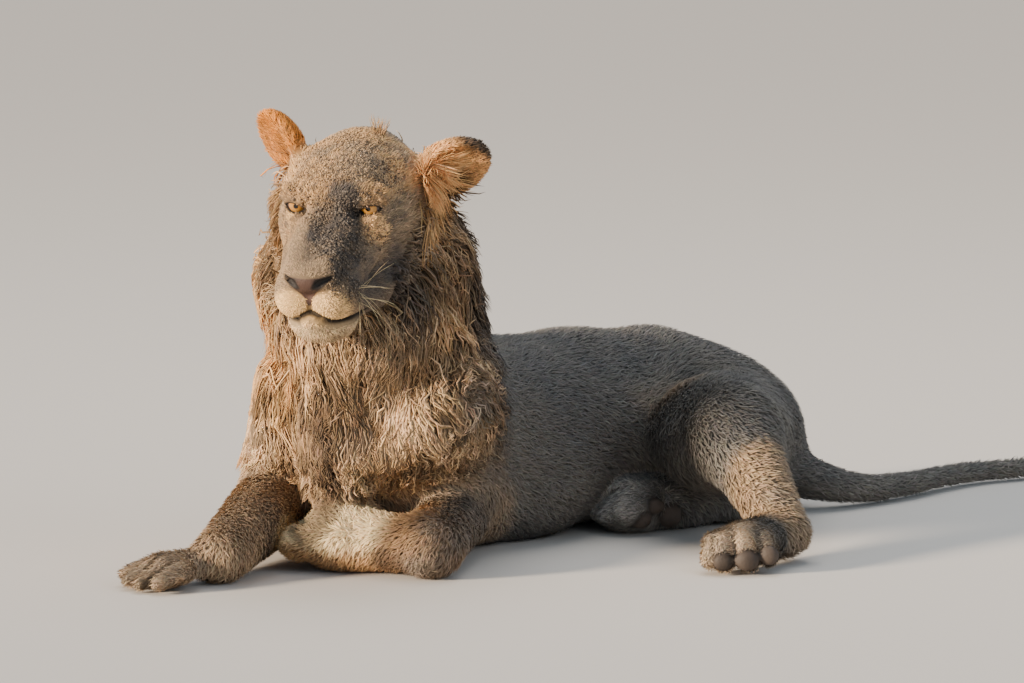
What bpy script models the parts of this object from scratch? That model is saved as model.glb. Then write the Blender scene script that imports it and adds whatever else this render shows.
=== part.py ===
"""A young male lion lying on the ground with its head raised, life size, in metres.

The lion faces -Y, its left side is +X, and it rests on the floor at Z = 0. Its outline, out to
the tips of the coat, is one field of distances blended from the shapes of its muscles. The field
is drawn as a closed surface, and that surface is parted into head, ears, eyes, neck, trunk, legs
and tail by convex sleeves, which leave a thin cut between one part and the next.
"""
import itertools
import math

import bmesh
import bpy
import numpy as np
from mathutils import Matrix, Vector

for old in list(bpy.data.objects):
    bpy.data.objects.remove(old, do_unlink=True)

# ---------------------------------------------------------------- driving dimensions
GAP = 0.0004            # the thin cut between two parts
FLOOR_SLACK = 0.0012    # points this low are set exactly on the floor
ROUNDING = 0.00002      # what the cuts may leave between a point and the floor
SPACING = 0.008         # the grid on which the coat's surface is drawn
TRIANGLES = 2700        # how many that surface is thinned to, most where it bends most
FINE_CARE = 0.02        # how strongly the head and the feet keep more of theirs

# The head's own frame lies midway between the eyes: x to its left, y to the nose, z up.
HEAD_AT = np.array((0.108, -0.655, 0.545))      # midway between the eyes
HEAD_TURN = math.radians(28.5)                  # to the lion's left of -Y
HEAD_DIP = math.radians(9.0)                    # nose down
EYE = dict(half_spacing=0.054, forward=-0.003, radius=0.0175)

# Joints of the legs: left and right are the lion's own.
FORE = {
    "left": dict(shoulder=(0.112, -0.455, 0.250), elbow=(0.030, -0.315, 0.078),
                 wrist=(0.200, -0.550, 0.048), toes=(-0.042, -0.622, 0.047),
                 arm=(0.076, 0.066), forearm=(0.062, 0.048), foot=(0.110, 0.086)),
    "right": dict(shoulder=(-0.066, -0.549, 0.250), elbow=(-0.140, -0.515, 0.088),
                  wrist=(0.012, -0.792, 0.039), toes=(-0.020, -0.946, 0.020),
                  arm=(0.066, 0.064), forearm=(0.064, 0.043), foot=(0.124, 0.043)),
}
HIND = {
    "left": dict(hip=(0.105, 0.160, 0.130), knee=(0.300, -0.030, 0.168), hock=(0.460, -0.084, 0.045),
                 toes=(0.492, -0.235, 0.036), thigh=(0.108, 0.074), shank=(0.066, 0.036),
                 foot=(0.104, 0.074), sole_from=0.05),
    "right": dict(hip=(-0.020, 0.170, 0.110), knee=(-0.030, -0.100, 0.070), hock=(0.186, 0.160, 0.043),
                  toes=(0.082, -0.098, 0.040), thigh=(0.105, 0.060), shank=(0.056, 0.037),
                  foot=(0.092, 0.080), sole_from=0.45),
}
# The left hind foot's four toes, turned to its left: each from its knuckle to its tip, with a radius.
TOES_TURNED = (((0.448, -0.221, 0.042), (0.460, -0.238, 0.0225), 0.0190),
               ((0.466, -0.219, 0.045), (0.481, -0.234, 0.0215), 0.0200),
               ((0.488, -0.198, 0.048), (0.505, -0.209, 0.0230), 0.0205),
               ((0.504, -0.168, 0.046), (0.519, -0.181, 0.0270), 0.0190))
FLANK = (-0.030, -0.020, -0.005)                # the fold of the thigh's front edge
# The tail's centre line, from its root to the tuft, with its radius at each point.
TAIL_LINE = ((0.062, 0.250, 0.085), (0.150, 0.285, 0.052), (0.182, 0.372, 0.028), (0.184, 0.472, 0.023),
             (0.169, 0.565, 0.022), (0.165, 0.660, 0.020), (0.186, 0.745, 0.019), (0.200, 0.850, 0.018),
             (0.172, 0.945, 0.018))
TAIL_RADII = (0.062, 0.038, 0.026, 0.022, 0.020, 0.019, 0.018, 0.017, 0.016)
TUFT_LINE = ((0.170, 0.948, 0.020), (0.148, 0.985, 0.025), (0.112, 1.014, 0.023), (0.074, 1.030, 0.013))
TUFT_RADII = (0.017, 0.026, 0.023, 0.010)
# Each ear: the middle of its root, its tip, and the way its hollow faces, in the head's frame.
EARS = {
    "left": dict(root=(0.082, -0.125, -0.002), tip=(0.177, -0.165, 0.038), faces=(0.15, 0.85, -0.30)),
    "right": dict(root=(-0.084, -0.120, 0.020), tip=(-0.150, -0.150, 0.083), faces=(-0.85, 0.50, 0.05)),
}
EAR_HALF_WIDTH, EAR_THICK, EAR_HOLLOW = 0.047, 0.026, 0.024


# ---------------------------------------------------------------- shapes as distances
def blend(a, b, soft):
    """The union of two shapes, rounded over a width `soft` where they meet."""
    share = np.clip(0.5 + 0.5 * (b - a) / soft, 0, 1)
    return b + (a - b) * share - soft * share * (1 - share)


def carve(a, b, soft):
    """Shape a with shape b taken out of it, rounded along the edge."""
    return -blend(-a, b, soft)


def taper(points, start, end, r_start, r_end):
    """A limb: the distance to a line from start to end, less a radius that runs evenly along it."""
    start, end = np.asarray(start, float), np.asarray(end, float)
    run = end - start
    along = np.clip((points - start) @ run / (run @ run), 0, 1)
    return np.linalg.norm(points - start - along[..., None] * run, axis=-1) - (r_start + (r_end - r_start) * along)


def egg(points, centre, radii, axes=None):
    """An ellipsoid: q(q - 1)/g, with q the point's length over the radii and g its slope."""
    rel = points - np.asarray(centre, float)
    if axes is not None:
        rel = rel @ axes
    radii = np.asarray(radii, float)
    q = np.linalg.norm(rel / radii, axis=-1)
    slope = np.linalg.norm(rel / radii ** 2, axis=-1) + 1e-9
    return q * (q - 1) / slope


def chain(points, line, radii):
    """A row of tapers, one from each point of a line to the next."""
    return np.min([taper(points, line[k], line[k + 1], radii[k], radii[k + 1]) for k in range(len(line) - 1)], axis=0)


def smoothed(values, pieces=3):
    """Rows of values with `pieces` steps from each to the next, along the cubic that passes through them all."""
    values = np.asarray(values, float)
    ends = np.concatenate([2 * values[:1] - values[1:2], values, 2 * values[-1:] - values[-2:-1]])
    a, b, c, d = ends[:-3, None], ends[1:-2, None], ends[2:-1, None], ends[3:, None]
    t = (np.arange(pieces) / pieces).reshape((1, -1) + (1,) * (values.ndim - 1))
    path = b + 0.5 * t * (c - a + t * (2 * a - 5 * b + 4 * c - d + t * (3 * (b - c) + d - a)))
    return np.concatenate([path.reshape((-1,) + values.shape[1:]), values[-1:]])


def near(distance, reach):
    """1 where a distance is 0 or less, falling to 0 at `reach` along a smooth curve."""
    share = np.clip(1 - distance / reach, 0, 1)
    return share * share * (3 - 2 * share)


def between(start, end, share):
    return np.array(start) + (np.array(end) - np.array(start)) * share


def unit(vectors):
    return vectors / (np.linalg.norm(vectors, axis=-1, keepdims=True) + 1e-12)


# ---------------------------------------------------------------- the head
def head_axes():
    """Columns: the head's left, forward and up, as directions of the whole animal."""
    forward = np.array((math.sin(HEAD_TURN) * math.cos(HEAD_DIP),
                        -math.cos(HEAD_TURN) * math.cos(HEAD_DIP), -math.sin(HEAD_DIP)))
    left = np.array((math.cos(HEAD_TURN), math.sin(HEAD_TURN), 0.0))
    return np.stack([left, forward, np.cross(forward, left)], axis=1)


HEAD_AXES = head_axes()


def in_head(points):
    """Points in the head's own frame: x to its left, y to the nose, z up."""
    return (points - HEAD_AT) @ HEAD_AXES


def from_head(q):
    """Places of the head's frame in the whole animal's."""
    return HEAD_AT + np.asarray(q, float) @ HEAD_AXES.T


def mirrored(q, fold=0.0):
    """The head's frame folded over, so that both sides have x above 0; the fold's edge may be rounded."""
    return np.concatenate([np.sqrt(q[..., :1] ** 2 + fold ** 2), q[..., 1:]], axis=-1)


def ear_axes(root, tip, faces):
    """Columns: across the ear, along it to the tip, and out of its hollow."""
    root, tip, faces = np.array(root), np.array(tip), np.array(faces)
    axis = unit(tip - root)
    faces = unit(faces - (faces @ axis) * axis)
    return np.stack([np.cross(axis, faces), axis, faces], axis=1)


def ear(q, root, tip, faces):
    """A rounded leaf from root to tip with a hollow pressed into the side it faces."""
    axes = ear_axes(root, tip, faces)
    length = np.linalg.norm(np.array(tip) - np.array(root))
    middle = np.array(root) + axes[:, 1] * length * 0.5
    leaf = egg(q, middle, (EAR_HALF_WIDTH, length * 0.57, EAR_THICK), axes)
    hollow = egg(q, middle + axes[:, 2] * EAR_HOLLOW + axes[:, 1] * 0.006,
                 (EAR_HALF_WIDTH * 0.78, length * 0.49, EAR_THICK * 0.85), axes)
    return carve(leaf, hollow, 0.006)


def lips_and_jaw(q):
    """The muzzle with its upper lips, and the jaw with its chin: two shapes that meet along the mouth."""
    s = mirrored(q, 0.009)
    lips = taper(s, (0.042, 0.000, -0.050), (0.030, 0.092, -0.090), 0.034, 0.029)
    lips = blend(lips, egg(s, (0.027, 0.101, -0.104), (0.035, 0.045, 0.037)), 0.012)
    lips = blend(lips, taper(s, (0.040, 0.080, -0.116), (0.054, 0.010, -0.124), 0.023, 0.024), 0.016)
    jaw = taper(s, (0.028, 0.040, -0.128), (0.056, -0.062, -0.102), 0.032, 0.044)
    jaw = blend(jaw, egg(q, (0, 0.077, -0.149), (0.050, 0.045, 0.031)), 0.014)
    return lips, blend(jaw, egg(q, (0, 0.098, -0.135), (0.030, 0.040, 0.023)), 0.008)


def head(points):
    """Skull, cheeks, muzzle, jaw and ears, with lids, nostrils and lips."""
    q = in_head(points)
    s = mirrored(q, 0.008)
    shape = egg(q, (0, -0.120, -0.001), (0.084, 0.118, 0.079))                              # braincase
    shape = blend(shape, egg(q, (0, -0.042, 0.010), (0.070, 0.078, 0.048)), 0.030)         # forehead
    shape = blend(shape, egg(s, (0.066, -0.112, 0.000), (0.040, 0.052, 0.046)), 0.030)     # temples
    shape = blend(shape, taper(s, (0.054, 0.000, -0.036), (0.078, -0.085, -0.024), 0.024, 0.030), 0.025)
    shape = blend(shape, egg(s, (0.056, -0.062, -0.066), (0.040, 0.066, 0.062)), 0.030)    # cheeks
    shape = blend(shape, taper(s, (0.024, 0.000, -0.022), (0.020, 0.122, -0.067), 0.031, 0.022), 0.022)    # bridge
    lips, jaw = lips_and_jaw(q)
    shape = blend(shape, lips, 0.016)
    shape = blend(shape, egg(q, (0, 0.136, -0.072), (0.032, 0.021, 0.021)), 0.008)         # nose
    shape = blend(shape, jaw, 0.004 + 0.022 * near(q[..., 1], 0.045))
    shape = blend(shape, taper(s, (0.026, 0.014, 0.018), (0.066, -0.006, 0.015), 0.012, 0.014), 0.012)     # brows
    shape = carve(shape, egg(s, (0.055, 0.030, -0.001), (0.022, 0.020, 0.013)), 0.008)     # eye openings
    for side in EARS.values():
        shape = blend(shape, ear(q, **side), 0.012)
    return shape


# ---------------------------------------------------------------- the body
def neck_and_mane(points):
    """The neck inside its short mane, from the shoulders up behind the cheeks."""
    shape = taper(points, (0.004, -0.434, 0.240), (0.014, -0.494, 0.420), 0.158, 0.168)
    return blend(shape, taper(points, (0.050, -0.560, 0.330), (0.030, -0.560, 0.170), 0.090, 0.080), 0.060)


def trunk(points):
    """Rib cage, fore chest, loin, croup, and the belly spread on the ground."""
    shape = taper(points, (-0.010, -0.360, 0.165), (-0.045, -0.020, 0.142), 0.148, 0.140)
    shape = blend(shape, egg(points, (0.000, -0.200, 0.085), (0.118, 0.160, 0.095)), 0.050)
    shape = blend(shape, egg(points, (0.020, -0.440, 0.230), (0.150, 0.150, 0.150)), 0.050)
    shape = blend(shape, egg(points, (-0.010, -0.440, 0.110), (0.105, 0.130, 0.112)), 0.040)
    shape = blend(shape, taper(points, (-0.045, -0.020, 0.140), (-0.012, 0.110, 0.142), 0.140, 0.134), 0.040)
    return blend(shape, taper(points, (-0.012, 0.110, 0.142), (0.055, 0.245, 0.105), 0.130, 0.093), 0.040)


def paw(points, heel, toes, wide, high):
    """A sole from heel to toes with four toes fanned over its front half."""
    heel, toes = np.array(heel), np.array(toes)
    forward = toes - heel
    length = np.linalg.norm(forward)
    forward = forward / length
    across = unit(np.cross(forward, (0, 0, 1.0)))
    shape = taper(points, heel, heel + forward * length * 0.62, high * 0.5, high * 0.5 + 0.004)
    sole = egg(points, heel + forward * length * 0.62 - np.array((0, 0, 0.004)),
               (wide * 0.50, length * 0.30, high * 0.46), np.stack([across, forward, np.cross(across, forward)], 1))
    shape = blend(shape, sole, 0.020)
    for place in (-1.0, -0.34, 0.34, 1.0):
        knuckle = heel + forward * length * 0.50 + across * place * wide * 0.27 + np.array((0, 0, 0.006))
        reach = length * (0.99 - 0.10 * place ** 2) - high * 0.30
        tip = heel + forward * reach + across * place * wide * 0.36 - np.array((0, 0, 0.006))
        shape = blend(shape, taper(points, knuckle, tip, high * 0.34, high * 0.33), 0.006)
    for place in (-0.68, 0.0, 0.68):
        root = heel + forward * length * 0.70 + across * place * wide * 0.32 + np.array((0, 0, high * 0.34))
        end = heel + forward * length * 1.02 + across * place * wide * 0.38 + np.array((0, 0, high * 0.05))
        shape = carve(shape, taper(points, root, end, 0.0020, 0.0070), 0.010)
    return shape


def foreleg(points, shoulder, elbow, wrist, toes, arm, forearm, foot):
    """Upper arm, forearm and paw."""
    shape = taper(points, shoulder, elbow, *arm)
    shape = blend(shape, taper(points, elbow, wrist, *forearm), 0.030)
    return blend(shape, paw(points, wrist, toes, *foot), 0.020)


def turned_foot(points, hock, toes):
    """The foot that lies on its outer side: the long instep, its sole, and four toes side by side."""
    middle = np.mean([np.array(toe[0]) for toe in TOES_TURNED], axis=0)
    shape = taper(points, hock, middle - (0.004, -0.030, 0.004), 0.036, 0.034)
    for knuckle, tip, radius in TOES_TURNED:
        shape = blend(shape, taper(points, between(hock, knuckle, 0.72), knuckle, 0.024, radius), 0.010)
    return np.minimum(shape, np.min([taper(points, *toe[:2], toe[2], toe[2] - 0.001) for toe in TOES_TURNED], axis=0))


def hindleg(points, hip, knee, hock, toes, thigh, shank, foot, sole_from):
    """Thigh, shank, the long hind foot and its toes."""
    shape = taper(points, hip, knee, *thigh)
    shape = blend(shape, egg(points, between(hip, knee, 0.72) + np.array(FLANK), (0.085, 0.085, 0.080)), 0.040)
    shape = blend(shape, taper(points, knee, hock, *shank), 0.030)
    if hock == HIND["left"]["hock"]:
        return blend(shape, turned_foot(points, hock, toes), 0.020)
    shape = blend(shape, taper(points, hock, between(hock, toes, 0.55), shank[1], 0.034), 0.020)
    return blend(shape, paw(points, between(hock, toes, sole_from), toes, *foot), 0.020)


def body_parts(points):
    """The distance to each part on its own, in the order in which they are joined."""
    return {
        "trunk": trunk(points),
        "fore_left": foreleg(points, **FORE["left"]), "fore_right": foreleg(points, **FORE["right"]),
        "hind_left": hindleg(points, **HIND["left"]), "hind_right": hindleg(points, **HIND["right"]),
        "neck": neck_and_mane(points), "head": head(points),
        "tail": chain(points, smoothed(TAIL_LINE), smoothed(TAIL_RADII)), "tuft": chain(points, TUFT_LINE, TUFT_RADII),
    }


LEGS = {"fore_left": FORE["left"], "fore_right": FORE["right"], "hind_left": HIND["left"], "hind_right": HIND["right"]}
JOINS = {"fore_left": 0.035, "fore_right": 0.035, "hind_left": 0.085, "hind_right": 0.012,
         "neck": 0.050, "head": 0.040, "tail": 0.030, "tuft": 0.020}


def joined(parts):
    """All parts in one shape. Each leg is joined to the trunk by itself, so that no web grows between two legs."""
    shape = np.min([blend(parts["trunk"], parts[name], JOINS[name]) for name in LEGS], axis=0)
    for name in ("neck", "head", "tail", "tuft"):
        shape = blend(shape, parts[name], JOINS[name])
    return shape


def lion(points):
    """The whole animal out to the tips of its coat, cut level where it lies on the floor."""
    return np.maximum(joined(body_parts(points)), -points[..., 2])


# ---------------------------------------------------------------- the field as a surface
LOW, HIGH = (-0.30, -1.02, -0.020), (0.62, 1.16, 0.74)      # a box that holds the whole animal


def surface(shape, low, high, spacing):
    """The surface where shape is 0, as (points, triangles), closed and facing outward.

    Each cell of the grid is six tetrahedra round its long diagonal. In a tetrahedron with one
    corner on its own side of the surface, the surface is a triangle through that corner's three
    edges; with two corners on each side it is a four-sided piece through the four edges between.
    """
    lines = [np.arange(low[k], high[k] + spacing, spacing) for k in range(3)]
    field = np.empty([len(line) for line in lines])
    for i, x in enumerate(lines[0]):
        y, z = np.meshgrid(lines[1], lines[2], indexing="ij")
        field[i] = shape(np.stack([np.full_like(y, x), y, z], axis=-1))
    inside = field < 0
    halves = [slice(0, -1), slice(1, None)]
    corners = sum(inside[halves[a], halves[b], halves[c]].astype(int) for a in (0, 1) for b in (0, 1) for c in (0, 1))
    cells = np.argwhere((corners > 0) & (corners < 8))
    pieces, outward = [], []
    for order in itertools.permutations(range(3)):
        steps = np.cumsum([np.zeros(3, int)] + [np.eye(3, dtype=int)[axis] for axis in order], axis=0)
        places = cells[:, None] + steps
        ends = np.ravel_multi_index(tuple(np.moveaxis(places, -1, 0)), field.shape)
        inner = inside.ravel()[ends]
        inner_first = np.argsort(~inner, axis=1, kind="stable")
        ends = np.take_along_axis(ends, inner_first, axis=1)
        count = inner.sum(axis=1)
        centre_in = (places * inner[..., None]).sum(axis=1) / np.maximum(count, 1)[:, None]
        centre_out = (places * ~inner[..., None]).sum(axis=1) / np.maximum(4 - count, 1)[:, None]
        for number, crossed in ((1, ((0, 1), (0, 2), (0, 3))), (3, ((0, 3), (1, 3), (2, 3))),
                                (2, ((0, 2), (0, 3), (1, 3))), (2, ((0, 2), (1, 3), (1, 2)))):
            pick = count == number
            pieces.append(ends[pick][:, np.array(crossed)])
            outward.append((centre_out - centre_in)[pick])
    pieces, outward = np.concatenate(pieces), np.concatenate(outward)
    edges, corner = np.unique(pieces.reshape(-1, 2), axis=0, return_inverse=True)
    faces = corner.reshape(-1, 3)
    first, second = field.ravel()[edges[:, 0]], field.ravel()[edges[:, 1]]
    start, end = (np.stack(np.unravel_index(edges[:, k], field.shape), axis=1) for k in (0, 1))
    points = np.array(low) + (start + (end - start) * (first / (first - second))[:, None]) * spacing
    a, b, c = (points[faces[:, k]] for k in range(3))
    turned = np.einsum("ij,ij->i", np.cross(b - a, c - a), outward) < 0
    faces[turned] = faces[turned][:, ::-1]
    return points, faces


def mesh_object(name, points, faces):
    mesh = bpy.data.meshes.new(name)
    mesh.from_pydata([tuple(p) for p in points], [], [tuple(int(k) for k in face) for face in faces])
    obj = bpy.data.objects.new(name, mesh)
    bpy.context.scene.collection.objects.link(obj)
    return obj


def settled(obj):
    """The object with its modifiers made part of its mesh."""
    graph = bpy.context.evaluated_depsgraph_get()
    mesh = bpy.data.meshes.new_from_object(obj.evaluated_get(graph))
    obj.modifiers.clear()
    obj.data = mesh
    return obj


def levelled(obj, slack):
    """The object with its points that lie within `slack` of the floor put exactly on it."""
    for vertex in obj.data.vertices:
        if vertex.co.z < slack:
            vertex.co.z = 0.0
    return obj


FINE_SPOTS = ([(from_head((0, 0.02, -0.03)), 0.19)] + [(place, 0.06) for place in TAIL_LINE[1:]]
              + [(leg["toes"], 0.13) for leg in (*FORE.values(), *HIND.values())])


def thinned_body():
    """The coat's surface with its flat stretches thinned out, less so on the head and the feet."""
    points, faces = surface(lion, LOW, HIGH, SPACING)
    body = mesh_object("body", points, faces)
    fine = np.zeros(len(points), bool)
    for centre, radius in FINE_SPOTS:
        fine |= np.linalg.norm(points - np.asarray(centre), axis=1) < radius
    group = body.vertex_groups.new(name="plain")
    group.add(np.flatnonzero(fine).tolist(), 0.5, "REPLACE")
    group.add(np.flatnonzero(~fine).tolist(), 1.0, "REPLACE")
    thin = body.modifiers.new("thin", "DECIMATE")
    thin.ratio = TRIANGLES / len(faces)
    thin.vertex_group = "plain"
    thin.vertex_group_factor = FINE_CARE
    return levelled(settled(body), FLOOR_SLACK)


# ---------------------------------------------------------------- parting the body
def largest_piece(obj):
    """The object with only its largest island of faces left."""
    shape = bmesh.new()
    shape.from_mesh(obj.data)
    left, islands = set(shape.verts), []
    while left:
        seed = left.pop()
        island, todo = {seed}, [seed]
        while todo:
            for edge in todo.pop().link_edges:
                for end in edge.verts:
                    if end in left:
                        left.discard(end)
                        island.add(end)
                        todo.append(end)
        islands.append(island)
    islands.sort(key=len)
    bmesh.ops.delete(shape, geom=[v for island in islands[:-1] for v in island], context="VERTS")
    shape.to_mesh(obj.data)
    shape.free()
    return obj


def boolean(obj, tool, operation):
    cut = obj.modifiers.new(operation.lower(), "BOOLEAN")
    cut.operation = operation
    cut.solver = "EXACT"
    cut.object = tool
    return settled(obj)


ROUGH_BALL = 1.12       # a ball of twenty facets is drawn this much larger, to hold as much as a round one


def sleeve(balls, swell=0.0):
    """A convex solid stretched round some balls, each (centre, radius), swollen by `swell`."""
    dots, shape = bmesh.new(), bmesh.new()
    for centre, radius in balls:
        bmesh.ops.create_icosphere(dots, subdivisions=1, radius=radius * ROUGH_BALL + swell,
                                   matrix=Matrix.Translation(Vector(centre)))
    for dot in dots.verts:
        shape.verts.new(dot.co)
    dots.free()
    bmesh.ops.convex_hull(shape, input=shape.verts)
    bmesh.ops.delete(shape, geom=[v for v in shape.verts if not v.link_faces], context="VERTS")
    bmesh.ops.recalc_face_normals(shape, faces=shape.faces)
    mesh = bpy.data.meshes.new("sleeve")
    shape.to_mesh(mesh)
    shape.free()
    tool = bpy.data.objects.new("sleeve", mesh)
    bpy.context.scene.collection.objects.link(tool)
    return tool


def take(body, name, balls):
    """Part what lies inside the sleeve from the body, as a new object, leaving the thin cut."""
    piece = body.copy()
    piece.data = body.data.copy()
    piece.name = name
    bpy.context.scene.collection.objects.link(piece)
    tight, loose = sleeve(balls), sleeve(balls, GAP)
    boolean(piece, tight, "INTERSECT")
    boolean(body, loose, "DIFFERENCE")
    for tool in (tight, loose):
        bpy.data.objects.remove(tool, do_unlink=True)
    return largest_piece(piece)


def foot_sleeve(heel, toes, wide, high, start, end, room=0.010):
    """Balls side by side at both ends of a stretch of a paw, wide enough to hold it."""
    heel, toes = np.array(heel), np.array(toes)
    forward = (toes - heel) / np.linalg.norm(toes - heel)
    across = np.cross(forward, (0, 0, 1.0)) * (wide / 2 - high / 2 + 0.004)
    radius = high / 2 + room
    places = (between(heel, toes, start), between(heel, toes, end))
    return [(place + side * across, radius) for place in places for side in (-1, 1)]


def head_sleeve(*balls):
    """Balls given in the head's frame, each (x, y, z, radius), mirrored to both sides."""
    return [(from_head((side * x, y, z)), radius) for x, y, z, radius in balls for side in (-1, 1)]


def eyeball(side, radius):
    """A ball whose poles point ahead and back, in the head's frame."""
    turn = Matrix((HEAD_AXES * (-1, 1, 1)).tolist()).to_4x4() @ Matrix.Rotation(math.radians(90), 4, "X")
    place = Matrix.Translation(Vector(from_head((side * EYE["half_spacing"], EYE["forward"], 0))))
    shape = bmesh.new()
    bmesh.ops.create_uvsphere(shape, u_segments=12, v_segments=8, radius=radius, matrix=place @ turn)
    mesh = bpy.data.meshes.new("eye")
    shape.to_mesh(mesh)
    shape.free()
    eye = bpy.data.objects.new("eye", mesh)
    bpy.context.scene.collection.objects.link(eye)
    return eye


COLOURS = {"coat": (0.37, 0.29, 0.20), "mane": (0.30, 0.22, 0.14), "ear": (0.52, 0.33, 0.15),
           "nose": (0.10, 0.06, 0.05), "eye": (0.62, 0.36, 0.07), "tuft": (0.08, 0.06, 0.05)}
ROUGHNESS = {"nose": 0.45, "eye": 0.08}


def paint(obj, kind):
    """The part's own material: muddy coat, wet nose leather, or a glossy eye."""
    material = bpy.data.materials.new(obj.name)
    material.use_nodes = True
    surface_node = material.node_tree.nodes["Principled BSDF"]
    surface_node.inputs["Base Color"].default_value = (*COLOURS[kind], 1)
    surface_node.inputs["Roughness"].default_value = ROUGHNESS.get(kind, 0.9)
    surface_node.inputs["Metallic"].default_value = 0.0
    obj.data.materials.clear()
    obj.data.materials.append(material)
    obj.data.shade_smooth()
    obj.data.set_sharp_from_angle(angle=math.radians(50))


# ---------------------------------------------------------------- the parts
body = thinned_body()
parts = []


def part(name, kind, balls):
    parts.append((take(body, name, balls), kind))
    return parts[-1][0]


# The tail, from its tuft to its root.
part("tail_tuft", "tuft", [(TUFT_LINE[0], 0.026), (TUFT_LINE[2], 0.050), (TUFT_LINE[-1], 0.050)])
for name, first, last in (("tail_tip", 6, 8), ("tail_middle", 4, 6), ("tail_front", 2, 4), ("tail_root", 1, 2)):
    part(name, "coat", [(TAIL_LINE[k], TAIL_RADII[k] + 0.014) for k in range(first, last + 1)])

# The head: ears, nose leather and lower jaw come off it, and the eyes sit in it.
for side, sign in (("left", 1), ("right", -1)):
    root, tip = np.array(EARS[side]["root"]), np.array(EARS[side]["tip"])
    part("ear_" + side, "ear", [(from_head(between(root, tip, 0.34)), 0.046),
                                (from_head(between(root, tip, 1.0)), 0.060)])
part("nose", "nose", head_sleeve((0.010, 0.152, -0.066, 0.017)))
part("lower_jaw", "coat", head_sleeve((0.040, 0.150, -0.126, 0.002), (0.062, -0.020, -0.118, 0.002),
                                      (0.030, 0.140, -0.180, 0.002), (0.045, 0.000, -0.175, 0.002)))
skull = part("head", "coat", head_sleeve((0.030, -0.115, 0.005, 0.108), (0.066, -0.060, -0.060, 0.080),
                                         (0.010, 0.100, -0.090, 0.080), (0.010, 0.020, -0.130, 0.060)))
for side, sign in (("left", 1), ("right", -1)):
    socket = eyeball(sign, EYE["radius"] + GAP)
    boolean(skull, socket, "DIFFERENCE")
    bpy.data.objects.remove(socket, do_unlink=True)
    eye = eyeball(sign, EYE["radius"])
    eye.name = "eye_" + side
    parts.append((eye, "eye"))

# The forelegs, each from its paw up; an arm's sleeve stands out of the chest at the shoulder.
for side, sign in (("left", 1), ("right", -1)):
    leg = FORE[side]
    shoulder = np.array(leg["shoulder"]) + (sign * 0.045, 0.0, -0.010)
    part("fore_paw_" + side, "coat", foot_sleeve(leg["wrist"], leg["toes"], *leg["foot"], 0.28, 1.0))
    part("forearm_" + side, "coat", [(leg["elbow"], leg["forearm"][0] + 0.016),
                                     (leg["wrist"], leg["forearm"][1] + 0.014)])
    part("upper_arm_" + side, "coat", [(shoulder, leg["arm"][0] + 0.020), (leg["elbow"], leg["arm"][1] + 0.024)])

# The hind legs, each from its foot up; a thigh's sleeve stands out of the rump and the flank.
for side in ("right", "left"):
    leg = HIND[side]
    part("hind_foot_" + side, "coat", foot_sleeve(leg["hock"], leg["toes"], *leg["foot"], 0.10, 1.0))
    part("shank_" + side, "coat", [(leg["knee"], leg["shank"][0] + 0.004), (leg["hock"], leg["shank"][1] + 0.012)])
for side, sign in (("left", 1), ("right", -1)):
    leg = HIND[side]
    hip = np.array(leg["hip"]) + (sign * 0.045, 0.0, 0.0)
    part("thigh_" + side, "coat", [(hip, leg["thigh"][0] + 0.020), (leg["knee"], leg["thigh"][1] + 0.040)])

# The neck with its mane, the hindquarters, the chest, and the belly that is left between them.
part("neck", "mane", [((0.018, -0.500, 0.440), 0.230), ((0.018, -0.520, 0.560), 0.150)])
part("hindquarters", "coat", [((0.010, 0.260, 0.120), 0.220), ((0.000, 0.180, 0.120), 0.200)])
part("chest", "coat", [((0.000, -0.440, 0.180), 0.250), ((0.000, -0.500, 0.180), 0.250)])
body.name = "belly"
parts.append((largest_piece(body), "coat"))

for obj, kind in parts:
    paint(levelled(obj, ROUNDING), kind)
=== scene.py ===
import math

import bpy
import numpy as np
from mathutils import Matrix, Vector


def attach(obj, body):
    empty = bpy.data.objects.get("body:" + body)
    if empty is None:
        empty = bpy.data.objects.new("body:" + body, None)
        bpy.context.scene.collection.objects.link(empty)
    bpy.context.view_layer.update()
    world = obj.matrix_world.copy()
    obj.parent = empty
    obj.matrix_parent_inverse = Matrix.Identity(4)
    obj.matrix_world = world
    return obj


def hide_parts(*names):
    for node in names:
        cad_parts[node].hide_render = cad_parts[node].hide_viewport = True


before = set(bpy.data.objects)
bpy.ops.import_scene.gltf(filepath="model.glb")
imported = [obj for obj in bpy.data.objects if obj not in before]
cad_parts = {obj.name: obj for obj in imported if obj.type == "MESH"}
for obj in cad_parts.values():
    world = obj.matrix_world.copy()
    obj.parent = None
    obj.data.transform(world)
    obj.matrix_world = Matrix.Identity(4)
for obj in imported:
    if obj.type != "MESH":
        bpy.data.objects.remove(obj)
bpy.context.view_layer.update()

# A young male lion lying with its head raised, life size, in metres. It faces -Y, its left side
# is +X, and it rests on the floor at Z = 0. One skin carries the whole animal; the short coat, the
# hair of the ears, the mane and the whiskers are rooted in it and lie over it.

# ------------------------------------------------------------------ the skin
# The hide of the whole animal, from nose leather to tail, with its lids, lips and pads. It is one
# closed surface, worked out from the distances to muscles and bones, and lies under the coat by
# the depth that the hair stands off it. The face, the feet and the eyes are drawn finer.


def blend(a, b, soft):
    """The union of two shapes, rounded over a width `soft` where they meet."""
    share = np.clip(0.5 + 0.5 * (b - a) / soft, 0, 1)
    return b + (a - b) * share - soft * share * (1 - share)


def carve(a, b, soft):
    """Shape a with shape b taken out of it, rounded along the edge."""
    return -blend(-a, b, soft)


def taper(points, start, end, r_start, r_end):
    """A limb: the distance to a line from start to end, less a radius that runs evenly along it."""
    start, end = np.asarray(start, float), np.asarray(end, float)
    run = end - start
    along = np.clip((points - start) @ run / (run @ run), 0, 1)
    away = np.linalg.norm(points - start - along[..., None] * run, axis=-1)
    return away - (r_start + (r_end - r_start) * along)


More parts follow.
